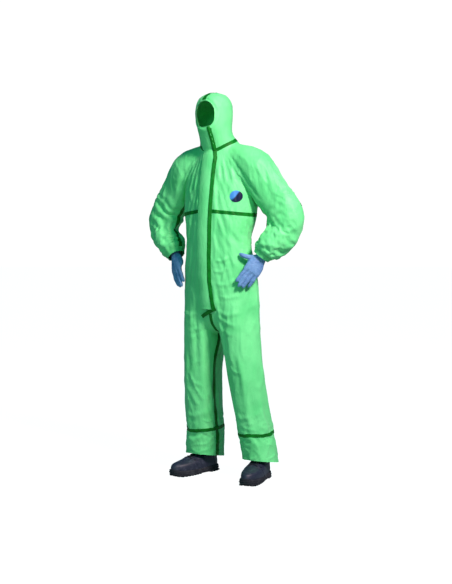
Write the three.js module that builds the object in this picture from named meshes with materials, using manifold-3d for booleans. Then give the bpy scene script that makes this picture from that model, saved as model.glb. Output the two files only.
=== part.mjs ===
// Hooded chemical protective coverall with its gloves and safety shoes, shaped as it is worn with
// the hands on the hips. Millimetres, +Z up, the wearer faces -Y and the wearer's left is +X.
// The floor is z = 0. Cloth is made of thin tubes: each is a loft of oval rings along a path.
import * as THREE from "three";
import { mergeVertices } from "three/addons/utils/BufferGeometryUtils.js";
import Module from "manifold-3d";

const wasm = await Module();
wasm.setup();

// ---- driving dimensions -----------------------------------------------------------------------

const clothWall = 2.4; // the cloth's stand-in thickness
const jointGap = 0.4; // between pieces that touch
const tapeWidth = 16;
const tapeThickness = 1.2;
const tapeLift = 0.7; // from the cloth to the tape's underside

const floorToCrotchLine = 790; // where the trunk ends and the legs begin
const floorToChestSeam = 1262;
const floorToWaist = 1130;
const floorToHem = 104;
const floorToShinSeam = 255;
const floorToKnee = 500;
const floorToHipPivot = 800;
const floorToNeckSeam = 1572; // centre of the tilted ring where the hood is sewn on
const neckTilt = 18; // degrees, front lower than back

const zipArcRadius = 1750; // the front closure is one long arc seen from the side
const zipArcHeight = 1125; // height of its most forward point
const zipArcFront = -143;
const zipX = -8; // the zip runs a little to the wearer's right of the middle
const zipChainWidth = 7;
const zipSlot = 16; // gap between the left and right panels
const flapSewnX = 19;
const flapFreeX = -37;
const flapThickness = 1.4;
const flapTent = 9.5; // the flap arches over the zip slider by this much
const flapTop = 1530;
const flapBottom = 836;
const sliderTop = 1512; // the slider's rest place, zip closed
const sliderLength = 20;
const sliderWidth = 11;
const sliderThickness = 4.2;
const pullLength = 26;

const kneeClear = 72; // half length of the soft band at each joint
const elbowClear = 72;
const shoulderClear = 104;
const hipClear = 92;

const cuffRadius = 40;
const cuffWidth = 18;
const gloveWrist = 27;
const gloveMouth = 7; // how far the glove reaches back inside the cuff
const gloveWall = 1.2;
const handLength = 190;
const fingerRadius = 9.5;

const footLength = 296;
const footWidth = 100;
const footTurnOut = 12; // degrees
const soleThickness = 28;
const shoeCollarHeight = 104;
const shoeWall = 3.5;
const shoeRows = 5;

const badgeRadius = 27;
const badgeThickness = 1.2;
const badgeX = 132;
const badgeZ = 1333;

const faceWidth = 100;
const faceHeight = 123;
const faceCentre = new THREE.Vector3(-6, -130, 1727);
const faceRimWidth = 7;

// Joint pivots on the wearer's left; the right side mirrors x.
const shoulder = new THREE.Vector3(190, 10, 1466);
const elbow = new THREE.Vector3(380, 30, 1250);
const wrist = new THREE.Vector3(244, -26, 1064);
const ankle = new THREE.Vector3(160, 100, 95);

// ---- materials --------------------------------------------------------------------------------

const finish = (color, roughness, metalness = 0) =>
  new THREE.MeshStandardMaterial({ color, roughness, metalness });
const green = finish(0x6fe59a, 0.75);
const greenBand = finish(0x5ad087, 0.75);
const darkTape = finish(0x0b6b1e, 0.45);
const zipBlack = finish(0x1d5a33, 0.5);
const gloveBlue = finish(0x5b82bd, 0.5);
const shoeBlack = finish(0x262a38, 0.55);
const soleRubber = finish(0x1b1d26, 0.8);
const laceDark = finish(0x15161c, 0.9);
const badgeBlue = finish(0x2c63b4, 0.4);

// ---- solids -----------------------------------------------------------------------------------

const vec = (x, y, z) => new THREE.Vector3(x, y, z);

/** A closed geometry as a manifold-3d solid with its faces pointing out. */
function solidOf(geometry) {
  const bare = geometry.clone();
  bare.deleteAttribute("normal");
  bare.deleteAttribute("uv");
  const merged = mergeVertices(bare, 1e-4);
  const make = (triVerts) =>
    new wasm.Manifold(
      new wasm.Mesh({ numProp: 3, vertProperties: merged.attributes.position.array, triVerts }),
    );
  const corners = new Uint32Array(merged.index.array);
  const made = make(corners);
  if (made.volume() > 0) return made;
  for (let i = 0; i < corners.length; i += 3) {
    [corners[i + 1], corners[i + 2]] = [corners[i + 2], corners[i + 1]];
  }
  return make(corners);
}

/** A manifold-3d solid as a three.js geometry. */
function geometryOf(solid) {
  const mesh = solid.getMesh();
  const points = new Float32Array(mesh.numVert * 3);
  for (let i = 0; i < mesh.numVert; i++) {
    points.set(mesh.vertProperties.subarray(i * mesh.numProp, i * mesh.numProp + 3), i * 3);
  }
  const geometry = new THREE.BufferGeometry();
  geometry.setAttribute("position", new THREE.BufferAttribute(points, 3));
  geometry.setIndex(new THREE.BufferAttribute(mesh.triVerts, 1));
  geometry.computeVertexNormals();
  return geometry;
}

/** The largest connected body of a solid, so that boolean crumbs are dropped. */
function mainBody(solid) {
  const bodies = solid.decompose();
  return bodies.reduce((best, body) => (body.volume() > best.volume() ? body : best));
}

/** A box between two corners. */
function boxSolid(low, high) {
  const size = vec(...high).sub(vec(...low));
  const geometry = new THREE.BoxGeometry(size.x, size.y, size.z);
  geometry.translate(...vec(...low).add(vec(...high)).multiplyScalar(0.5).toArray());
  return solidOf(geometry);
}

/** Moves every vertex of a geometry through a function of its position. */
function remap(geometry, place) {
  const position = geometry.attributes.position;
  const point = new THREE.Vector3();
  for (let i = 0; i < position.count; i++) {
    place(point.fromBufferAttribute(position, i));
    position.setXYZ(i, point.x, point.y, point.z);
  }
  return geometry;
}

/**
 * A patch of sheet: place(across, along, lift) gives the point for across and along from 0 to 1,
 * with lift 0 on the underside and 1 on the top.
 */
function patch(acrossSteps, alongSteps, place) {
  const geometry = new THREE.BoxGeometry(1, 1, 1, acrossSteps, alongSteps, 1);
  remap(geometry, (p) => p.copy(place(p.x + 0.5, p.y + 0.5, p.z + 0.5)));
  return solidOf(geometry);
}

// ---- lofts ------------------------------------------------------------------------------------

/** One ring of a loft: at a distance along it, an oval of half sizes a and b along u and v. */
const ring = (at, centre, a, b, u = vec(1, 0, 0), v = vec(0, 1, 0)) => ({ at, centre, a, b, u, v });

/** A loft through rings, read at any distance along it. */
class Loft {
  constructor(rings, sides) {
    this.sides = sides;
    this.start = rings[0].at;
    this.end = rings[rings.length - 1].at;
    const values = rings.flatMap((r) => [...r.centre.toArray(), ...r.u.toArray(), ...r.v.toArray(), r.a, r.b]);
    this.curve = new THREE.CubicInterpolant(rings.map((r) => r.at), values, 11, new Float64Array(11));
  }

  /** The ring at a distance. */
  at(distance) {
    const k = [...this.curve.evaluate(Math.min(Math.max(distance, this.start), this.end))];
    return {
      centre: vec(k[0], k[1], k[2]),
      u: vec(k[3], k[4], k[5]).normalize(),
      v: vec(k[6], k[7], k[8]).normalize(),
      a: k[9],
      b: k[10],
    };
  }

  /** The surface point at a distance and an angle, pushed out by offset. */
  point(distance, angle, offset = 0) {
    const r = this.at(distance);
    return r.centre
      .clone()
      .addScaledVector(r.u, (r.a + offset) * Math.sin(angle))
      .addScaledVector(r.v, (r.b + offset) * Math.cos(angle));
  }

  /** Moves a lathed unit profile (radius = which wall, height = share of the way) onto the loft. */
  place(profile, from, to, offsetOf) {
    const geometry = new THREE.LatheGeometry(profile, this.sides);
    return remap(geometry, (p) => {
      const radius = Math.hypot(p.x, p.z);
      const angle = Math.atan2(p.x, p.z);
      const distance = from + (to - from) * p.y;
      if (radius < 1e-9) p.copy(this.at(distance).centre);
      else p.copy(this.point(distance, angle, offsetOf(radius)));
    });
  }

  /** An open tube wall between two distances. */
  tube(from, to, rows, outer = 0, wall = clothWall) {
    const profile = [];
    for (let i = 0; i <= rows; i++) profile.push(new THREE.Vector2(2, i / rows));
    for (let i = rows; i >= 0; i--) profile.push(new THREE.Vector2(1, i / rows));
    profile.push(profile[0].clone());
    return solidOf(this.place(profile, from, to, (r) => (r > 1.5 ? outer : outer - wall)));
  }

  /** The filled tube between two distances. */
  core(from, to, rows, outer = 0) {
    const profile = [new THREE.Vector2(0, 0)];
    for (let i = 0; i <= rows; i++) profile.push(new THREE.Vector2(1, i / rows));
    profile.push(new THREE.Vector2(0, 1));
    return solidOf(this.place(profile, from, to, () => outer));
  }
}

// ---- the trunk --------------------------------------------------------------------------------

/** How far forward the front closure is at a height. */
function zipLine(z) {
  const rise = z - zipArcHeight;
  return zipArcFront + zipArcRadius - Math.sqrt(zipArcRadius ** 2 - rise ** 2);
}

/** A level trunk ring between the front closure and the back. */
function trunkRing(z, halfWidth, back) {
  const front = zipLine(z);
  return ring(z, vec(0, (front + back) / 2, z), halfWidth, (back - front) / 2);
}

const neckLean = THREE.MathUtils.degToRad(neckTilt);
const neckRing = {
  centre: vec(0, -8, floorToNeckSeam),
  a: 94,
  b: 85,
  v: vec(0, Math.cos(neckLean), Math.sin(neckLean)),
};

const trunk = new Loft(
  [
    trunkRing(floorToCrotchLine, 191, 122),
    trunkRing(920, 194, 142),
    trunkRing(1040, 180, 118),
    trunkRing(floorToWaist, 166, 106),
    trunkRing(floorToChestSeam, 190, 130),
    trunkRing(1380, 192, 130),
    trunkRing(1450, 180, 116),
    trunkRing(1505, 140, 96),
    ring(floorToNeckSeam, neckRing.centre, neckRing.a, neckRing.b, vec(1, 0, 0), neckRing.v),
  ],
  20,
);

/** The front surface of a loft at x and height z. */
function frontOf(loft, x, z, lift) {
  const angleAt = (distance) => Math.PI - Math.asin(THREE.MathUtils.clamp((x - loft.at(distance).centre.x) / loft.at(distance).a, -1, 1));
  let low = loft.start;
  let high = loft.end;
  for (let i = 0; i < 30; i++) {
    const middle = (low + high) / 2;
    if (loft.point(middle, angleAt(middle)).z < z) low = middle;
    else high = middle;
  }
  const p = loft.point(low, angleAt(low), lift);
  return vec(x, p.y, z);
}

/** A strip on the front of a loft between two corners, such as a tape or a flap. */
function frontStrip(loft, left, right, bottom, top, acrossSteps, alongSteps, liftOf, slant = 0) {
  return patch(acrossSteps, alongSteps, (across, along, lift) => {
    const x = THREE.MathUtils.lerp(left, right, across);
    const z = THREE.MathUtils.lerp(bottom, top, along) + slant * across;
    return frontOf(loft, x, z, liftOf(across, lift));
  });
}

const tapeOn = (across, lift) => tapeLift + lift * tapeThickness;

// ---- the sleeves ------------------------------------------------------------------------------

const upperArm = elbow.clone().sub(shoulder).normalize();
const foreArm = wrist.clone().sub(elbow).normalize();
const elbowAxis = upperArm.clone().cross(foreArm).normalize();
const elbowBend = upperArm.angleTo(foreArm);
const upperLength = shoulder.distanceTo(elbow);
const foreLength = elbow.distanceTo(wrist);

/** A ring square to a direction, with its first axis across the plane of the bent arm. */
function armRing(at, centre, direction, a, b) {
  const u = elbowAxis.clone().addScaledVector(direction, -elbowAxis.dot(direction)).normalize();
  return ring(at, centre, a, b, u, direction.clone().cross(u).normalize());
}

const yokeLength = 130; // along the sleeve path from its root beside the neck to the shoulder pivot
const elbowAt = yokeLength + upperLength;
const wristAt = elbowAt + foreLength;

/** The sleeve's loft on the wearer's left, from beside the neck to the cuff. */
function sleeveLoft() {
  const alongUpper = (s) => shoulder.clone().addScaledVector(upperArm, s);
  const alongFore = (s) => elbow.clone().addScaledVector(foreArm, s);
  const bisector = upperArm.clone().add(foreArm).normalize();
  const inward = foreArm.clone().sub(upperArm).normalize();
  const arcRadius = elbowClear / Math.tan(elbowBend / 2);
  const cornerCut = arcRadius * (1 / Math.cos(elbowBend / 2) - 1);
  const outOfNeck = vec(0.94, 0.02, -0.34).normalize();
  const overShoulder = outOfNeck.clone().add(upperArm).normalize();
  return new Loft(
    [
      armRing(0, vec(62, -2, 1512), outOfNeck, 70, 68),
      armRing(68, vec(128, 4, 1500), outOfNeck, 88, 80),
      armRing(yokeLength, shoulder.clone(), overShoulder, 98, 90),
      armRing(yokeLength + 70, alongUpper(70), upperArm, 92, 86),
      armRing(yokeLength + shoulderClear, alongUpper(shoulderClear), upperArm, 86, 83),
      armRing(elbowAt - elbowClear, alongUpper(upperLength - elbowClear), upperArm, 77, 77),
      armRing(elbowAt, elbow.clone().addScaledVector(inward, cornerCut), bisector, 78, 80),
      armRing(elbowAt + elbowClear, alongFore(elbowClear), foreArm, 74, 75),
      armRing(elbowAt + 170, alongFore(170), foreArm, 69, 69),
      armRing(elbowAt + 215, alongFore(215), foreArm, 57, 57),
      armRing(wristAt - cuffWidth / 2, alongFore(foreLength - cuffWidth / 2), foreArm, cuffRadius, cuffRadius),
      armRing(wristAt + cuffWidth, alongFore(foreLength + cuffWidth), foreArm, cuffRadius, cuffRadius),
    ],
    14,
  );
}
const sleeve = sleeveLoft();

// ---- the legs ---------------------------------------------------------------------------------

/** A level leg ring; distances run downwards from the crotch line. */
function legRing(z, x, y, halfWidth, halfDepth) {
  return ring(floorToCrotchLine - z, vec(x, y, z), halfWidth, halfDepth);
}

const leg = new Loft(
  [
    legRing(floorToCrotchLine, 96, 6, 94.5, 117),
    legRing(700, 97, 10, 94, 112),
    legRing(600, 113, 15, 86, 99),
    legRing(floorToKnee, 127, 26, 79, 91),
    legRing(380, 134, 50, 79, 88),
    legRing(floorToShinSeam, 141, 76, 84, 90),
    legRing(floorToHem, 160, 100, 79, 90),
  ],
  14,
);
const down = (z) => floorToCrotchLine - z;

// ---- the hood ---------------------------------------------------------------------------------

const hoodBase = 1612; // where the turning hood starts, above the soft neck
const hood = new Loft(
  [
    ring(floorToNeckSeam, neckRing.centre, neckRing.a, neckRing.b, vec(1, 0, 0), neckRing.v),
    ring(hoodBase, vec(-2, -34, hoodBase), 80, 81),
    ring(1640, vec(-4, -46, 1640), 75, 88),
    ring(1680, vec(-6, -46, 1680), 78, 95),
    ring(1722, vec(-8, -44, 1722), 80, 99),
    ring(1762, vec(-9, -42, 1762), 76, 95),
    ring(1790, vec(-9, -40, 1790), 62, 79),
    ring(1806, vec(-9, -39, 1806), 42, 55),
    ring(1816, vec(-9, -38, 1816), 6, 8),
  ],
  20,
);

/** The hood's dome wall, closed over the crown. */
function hoodDome(outer, wall) {
  const rows = 6;
  const high = hood.end;
  const walls = (offset, drop) => {
    const profile = [new THREE.Vector2(0, 1)];
    for (let i = rows; i >= 0; i--) profile.push(new THREE.Vector2(1, 1 - (1 - i / rows) ** 1.6));
    profile.push(new THREE.Vector2(0, 0));
    return solidOf(hood.place(profile, hoodBase, high - drop, () => offset));
  };
  const cavity = walls(outer - wall, wall).add(hood.core(hoodBase - 20, hoodBase + 5, 2, outer - wall));
  return walls(outer, 0).subtract(cavity);
}

/** The oval that is cut through the hood for the face, grown by some millimetres. */
function faceCutter(grow) {
  const geometry = new THREE.CylinderGeometry(1, 1, 120, 16);
  geometry.scale(faceWidth / 2 + grow, 1, faceHeight / 2 + grow);
  geometry.translate(faceCentre.x, faceCentre.y, faceCentre.z);
  return solidOf(geometry);
}

// ---- gloves -----------------------------------------------------------------------------------

// Where each hand points, where its back faces, and the root, middle and tip of its thumb as
// distances along the hand, across it and out of its back. The left thumb stands away from the
// hand, and the right one lies beside the first finger.
const hands = {
  left: {
    along: vec(-0.39, -0.42, -0.82),
    back: vec(0.72, -0.69, 0),
    thumb: [[30, -22, -4], [48, -56, -12], [54, -84, -22]],
  },
  right: {
    along: vec(-0.38, -0.4, -0.835),
    back: vec(0.45, -0.88, 0.1),
    thumb: [[28, -24, -4], [56, -38, -5], [78, -42, -5]],
  },
};

/** A frame at the wrist: along the hand, across it away from the thumb, and out of its back. */
function handFrame(side) {
  const hand = side > 0 ? hands.left : hands.right;
  const along = hand.along.clone().normalize();
  const back = hand.back.clone();
  back.addScaledVector(along, -back.dot(along)).normalize();
  const across = back.clone().cross(along).normalize();
  return { along, across, back, thumb: hand.thumb };
}

/** A closed, slightly bent tube through points with radii, flattened on one axis. */
function limb(points, radii, u, v, flat, grow, sides) {
  let distance = 0;
  const rings = points.map((p, i) => {
    if (i) distance += p.distanceTo(points[i - 1]);
    return ring(distance, p, radii[i] + grow, radii[i] * flat[i] + grow, u, v);
  });
  return new Loft(rings, sides).core(0, distance, points.length - 1);
}

/** The hand's filled shape, grown by some millimetres; openBy lengthens it past the wrist. */
function handSolid(side, grow, openBy) {
  const { along, across, back, thumb } = handFrame(side);
  const at = (s, w, h) => wrist.clone().addScaledVector(along, s).addScaledVector(across, w).addScaledVector(back, h);
  const palm = limb(
    [at(-gloveMouth - openBy, 0, 0), at(20, 0, 0), at(60, 0, 1), at(96, 0, 0), at(108 + grow, 0, -1)],
    [gloveWrist, gloveWrist + 2, 40, 42, 36],
    across,
    back,
    [0.86, 0.72, 0.42, 0.36, 0.3],
    grow,
    10,
  );
  const reach = [78, 90, 94, 82];
  let made = palm;
  reach.forEach((length, i) => {
    const w = (1.5 - i) * 20;
    const knuckle = at(88, w, 0);
    const middle = at(88 + length * 0.55, w * 1.02, -4);
    const tip = at(88 + length, w * 0.98, -15);
    const radii = [fingerRadius, fingerRadius, fingerRadius * 0.6];
    made = made.add(limb([knuckle, middle, tip], radii, across, back, [1, 0.95, 0.9, 0.9], grow, 5));
  });
  const [thumbRoot, thumbMiddle, thumbTip] = thumb.map((place) => at(...place));
  const thumbEnd = thumbTip.clone().addScaledVector(thumbTip.clone().sub(thumbMiddle).normalize(), 8);
  const thumbWay = thumbTip.clone().sub(thumbRoot).normalize();
  const thumbAcross = back.clone().cross(thumbWay).normalize();
  const thumbRadii = [14, 11.5, 10, 4.5];
  return made.add(
    limb([thumbRoot, thumbMiddle, thumbTip, thumbEnd], thumbRadii, thumbAcross, back, [0.9, 0.95, 0.9, 0.9], grow, 5),
  );
}

/** A glove: the hand's shape hollowed out and open at the wrist. */
function glove(side) {
  return mainBody(handSolid(side, 0, 0).subtract(handSolid(side, -gloveWall, 12)));
}

// ---- shoes ------------------------------------------------------------------------------------

/** A level ring of a shoe, given by its heel and toe ends measured back from the ankle. */
function shoeRing(z, heel, toe, halfWidth) {
  return ring(z, vec(0, (heel + toe) / 2, z), halfWidth, (heel - toe) / 2);
}

const heelBack = 78;
const toeFront = heelBack - footLength;
const shoeHalf = footWidth / 2;
const shoe = new Loft(
  [
    shoeRing(soleThickness, heelBack, toeFront, shoeHalf),
    shoeRing(soleThickness + 16, heelBack, toeFront + 2, shoeHalf),
    shoeRing(soleThickness + 32, heelBack - 2, toeFront + 22, shoeHalf - 2),
    shoeRing(soleThickness + 48, heelBack - 4, toeFront + 66, shoeHalf - 5),
    shoeRing(soleThickness + 62, heelBack - 8, toeFront + 122, shoeHalf - 8),
    shoeRing(shoeCollarHeight, heelBack - 12, -52, shoeHalf - 11),
  ],
  16,
);

/** The outline of the sole, seen from above, from arcs round the heel and the toe. */
function soleOutline(grow) {
  const outline = new THREE.Shape();
  const half = shoeHalf + grow;
  const heelRadius = half - 10;
  outline.moveTo(-heelRadius, heelBack - heelRadius);
  outline.quadraticCurveTo(-half + 8, -20, -half, toeFront + half * 1.5);
  outline.absellipse(0, toeFront + half * 1.5, half, half * 1.5 + grow, Math.PI, Math.PI * 2);
  outline.quadraticCurveTo(half - 8, -20, heelRadius, heelBack - heelRadius);
  outline.absarc(0, heelBack - heelRadius + grow, heelRadius, 0, Math.PI);
  return outline;
}

/** The moulded sole with its heel step. */
function soleSolid() {
  const whole = solidOf(
    new THREE.ExtrudeGeometry(soleOutline(4), { depth: soleThickness - jointGap, bevelEnabled: false, curveSegments: 7 }),
  );
  const archNotch = boxSolid([-80, -52, -1], [80, heelBack - 62, 8]);
  return whole.subtract(archNotch);
}

/** One flat lace laid in a zigzag over the throat. */
function laceSolid() {
  const crossings = 6;
  const reach = 20;
  const low = soleThickness + 44;
  const rise = (shoeCollarHeight - 8 - low) / crossings;
  const runs = [];
  for (let i = 0; i < crossings; i++) {
    const way = i % 2 ? -1 : 1;
    runs.push(
      patch(4, 1, (across, along, lift) => {
        const x = way * reach * (across * 2 - 1);
        const z = low + rise * (i + across) + (along - 0.5) * 4.2;
        return frontOf(shoe, x, z, 2.5 + lift * 1.8);
      }),
    );
  }
  return runs.reduce((joined, run) => joined.add(run));
}

// ---- the assembly -----------------------------------------------------------------------------

const suit = new THREE.Group();

/** Adds one named piece; side -1 mirrors it to the wearer's right. */
function add(name, solid, material, side = 1) {
  const whole = mainBody(side < 0 ? solid.mirror([1, 0, 0]) : solid);
  const mesh = new THREE.Mesh(geometryOf(whole), material);
  mesh.name = name;
  suit.add(mesh);
}

const far = 1000;
const bothSides = [
  ["left", 1],
  ["right", -1],
];
const mirrored = (solid) => solid.mirror([1, 0, 0]);

// Trunk panels: a yoke above the chest seam and a lower body under it, each in two halves that part
// at the zip in front and at the centre back seam.
const yokeEnd = yokeLength - 6;
const trunkTop = floorToNeckSeam - jointGap;
const yokeRows = 5;
const lowerRows = 6;
const chestCut = floorToChestSeam;
const yokeWall = trunk
  .tube(chestCut + jointGap, trunkTop, yokeRows)
  .subtract(sleeve.core(0, yokeEnd + 160, 6, -clothWall))
  .subtract(mirrored(sleeve.core(0, yokeEnd + 160, 6, -clothWall)));
const shoulderWall = sleeve.tube(0, yokeEnd, 3).subtract(trunk.core(chestCut, floorToNeckSeam, 5, -clothWall));
const aboveNeck = hood.core(floorToNeckSeam, floorToNeckSeam + 40, 2, 40).add(boxSolid([-far, -far, 1600], [far, far, 1900]));
const yoke = yokeWall.add(shoulderWall).add(mirrored(shoulderWall)).subtract(aboveNeck);
const lowerBody = trunk.tube(floorToCrotchLine + jointGap, chestCut - jointGap, lowerRows);

const frontSlot = boxSolid([zipX - zipSlot / 2, -far, 0], [zipX + zipSlot / 2, 0, far * 2]);
const backSeam = boxSolid([zipX - jointGap, 0, 0], [zipX + jointGap, far, far * 2]);
const leftHalf = boxSolid([zipX, -far, 0], [far, far, far * 2]);
const rightHalf = boxSolid([-far, -far, 0], [zipX, far, far * 2]);
const armholes = sleeve.core(yokeEnd - 1, yokeEnd + 150, 4, jointGap);
for (const [side, half] of [["left", leftHalf], ["right", rightHalf]]) {
  const opened = yoke.subtract(frontSlot).subtract(backSeam).subtract(armholes).subtract(mirrored(armholes));
  add(`upper_body_${side}`, opened.intersect(half), green);
  add(`lower_body_${side}`, lowerBody.subtract(frontSlot).subtract(backSeam).intersect(half), green);
}

// Seam tapes of the trunk.
const chestTape = trunk.tube(chestCut - tapeWidth / 2, chestCut + tapeWidth / 2, 1, tapeLift + tapeThickness, tapeThickness);
const armClear = sleeve.core(yokeLength, elbowAt, 5, 6);
const underFlap = boxSolid([flapFreeX - 2, -far, 0], [flapSewnX + tapeWidth + 2, 0, far * 2]);
const tapedChest = chestTape.subtract(underFlap).subtract(backSeam).subtract(armClear).subtract(mirrored(armClear));
add("chest_seam_tape_left", tapedChest.intersect(leftHalf), darkTape);
add("chest_seam_tape_right", tapedChest.intersect(rightHalf), darkTape);

const besideNeck = sleeve.core(0, yokeEnd, 3, jointGap);
const neckTape = new Loft(
  [-1, 0, 1].map((k) =>
    ring(k * 8, neckRing.centre.clone().addScaledVector(vec(0, -Math.sin(neckLean), Math.cos(neckLean)), k * 8), neckRing.a + 3 - k * 5, neckRing.b + 1 - k * 2, vec(1, 0, 0), neckRing.v),
  ),
  20,
);
add(
  "neck_seam_tape",
  neckTape
    .tube(-8, 8, 1, 6, tapeThickness)
    .subtract(underFlap)
    .subtract(trunk.core(chestCut + jointGap, trunkTop, yokeRows, jointGap))
    .subtract(besideNeck)
    .subtract(mirrored(besideNeck)),
  darkTape,
);

add(
  "flap_seam_tape",
  frontStrip(trunk, flapSewnX + 1, flapSewnX + 1 + tapeWidth, flapBottom, flapTop, 1, 12, tapeOn),
  darkTape,
);
add(
  "flap_end_tape",
  frontStrip(trunk, flapFreeX - 12, flapSewnX + tapeWidth, 796, 796 + tapeWidth, 4, 1, tapeOn, 20),
  darkTape,
);
add(
  "waist_elastic",
  trunk
    .tube(floorToWaist - 12, floorToWaist + 12, 1, 5, 5)
    .subtract(boxSolid([-far, -far, 0], [far, 20, far * 2]))
    .subtract(trunk.core(floorToCrotchLine + jointGap, chestCut - jointGap, lowerRows, jointGap)),
  greenBand,
);

const badgeDisc = new THREE.CylinderGeometry(1, 1, 1, 20, 1);
remap(badgeDisc, (p) => {
  const lift = 1.4 + (p.y + 0.5) * badgeThickness;
  p.copy(frontOf(trunk, badgeX + p.x * badgeRadius * 0.86, badgeZ + p.z * badgeRadius, lift));
});
add("chest_badge", solidOf(badgeDisc), badgeBlue);

// Front closure: zip chain, slider and pull, and the storm flap over them.
add(
  "zip_chain",
  frontStrip(trunk, zipX - zipChainWidth / 2, zipX + zipChainWidth / 2, flapBottom + 6, flapTop - 4, 1, 12, (_, lift) => -2 + lift * 2.4),
  zipBlack,
);
const zipStretch = (side) =>
  frontStrip(
    trunk,
    zipX + side * (zipChainWidth / 2 + jointGap),
    zipX + side * (zipSlot / 2 - jointGap),
    flapBottom + 2,
    flapTop - 2,
    1,
    12,
    (_, lift) => -1.8 + lift * 1.2,
  );
bothSides.forEach(([name, side]) => add(`zip_tape_${name}`, zipStretch(side), greenBand));

const sliderFace = (lift) => 1.0 + lift * sliderThickness;
const sliderBody = frontStrip(trunk, zipX - sliderWidth / 2, zipX + sliderWidth / 2, sliderTop - sliderLength, sliderTop, 2, 3, (_, lift) => sliderFace(lift));
const crownLift = 1.0 + sliderThickness;
add("zip_slider", sliderBody, zipBlack);
add(
  "zip_pull",
  frontStrip(trunk, zipX - 3.5, zipX + 3.5, sliderTop - 6 - pullLength, sliderTop - 6, 2, 4, (_, lift) => crownLift + jointGap + lift * 1.4),
  zipBlack,
);

const tent = (across) => 1.4 + flapTent * Math.sin(Math.PI * across) ** 0.5;
add(
  "storm_flap",
  frontStrip(trunk, flapFreeX, flapSewnX, flapBottom, flapTop, 6, 12, (across, lift) => tent(across) + lift * flapThickness),
  green,
);

// Hood: two halves that part at the crown seam, the seam's tape, the face rim, the soft neck and
// the chin flap.
const dome = hoodDome(0, clothWall).subtract(faceCutter(faceRimWidth + jointGap));
const crownX = hood.at(hood.end).centre.x;
const leftOfCrown = boxSolid([crownX + jointGap, -far, 0], [far, far, far * 2]);
const rightOfCrown = boxSolid([-far, -far, 0], [crownX - jointGap, far, far * 2]);
add("hood_left", dome.intersect(leftOfCrown), green);
add("hood_right", dome.intersect(rightOfCrown), green);
const crownBand = boxSolid([crownX - tapeWidth / 2, -far, hoodBase + 24], [crownX + tapeWidth / 2, far, far * 2]);
add(
  "hood_seam_tape",
  hoodDome(tapeLift + tapeThickness, tapeThickness)
    .intersect(crownBand)
    .subtract(faceCutter(faceRimWidth + 2))
    .subtract(boxSolid([-far, -far, 0], [far, -60, faceCentre.z])),
  darkTape,
);
const rimBlock = hoodDome(1.6, clothWall + 3.2);
add("face_elastic", rimBlock.intersect(faceCutter(faceRimWidth)).subtract(faceCutter(0)), greenBand);
add("neck_cloth", hood.tube(floorToNeckSeam + jointGap + 2, hoodBase - jointGap, 2).subtract(neckTape.core(-8, 8, 1, 8)), green);

const chinBottom = 1567;
const chinTop = 1657;
add(
  "chin_flap",
  frontStrip(hood, flapFreeX, flapSewnX, chinBottom, chinTop, 4, 4, (across, lift) => 8.2 + lift * flapThickness),
  green,
);
add(
  "chin_flap_tape",
  frontStrip(hood, flapSewnX + 1, flapSewnX + 1 + tapeWidth, chinBottom, chinTop, 1, 4, (across, lift) => 8.2 + lift * tapeThickness),
  darkTape,
);

// Sleeves, gloves, legs and shoes, on both sides.
const trunkClear = trunk.core(chestCut - 140, floorToNeckSeam, 8, jointGap);
const sleeveStart = yokeLength + shoulderClear;
const underarm = { from: elbowAt + elbowClear + 2, to: elbowAt + 205 };
const cuffStart = wristAt - cuffWidth / 2;

/** A tape that runs along a loft at one angle. */
function lengthTape(loft, from, to, angle, width, rows) {
  return patch(1, rows, (across, along, lift) => {
    const distance = THREE.MathUtils.lerp(from, to, along);
    const r = loft.at(distance);
    const turn = ((across - 0.5) * width) / ((r.a + r.b) / 2);
    return loft.point(distance, angle + turn, tapeLift + 0.4 + lift * tapeThickness);
  });
}

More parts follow.
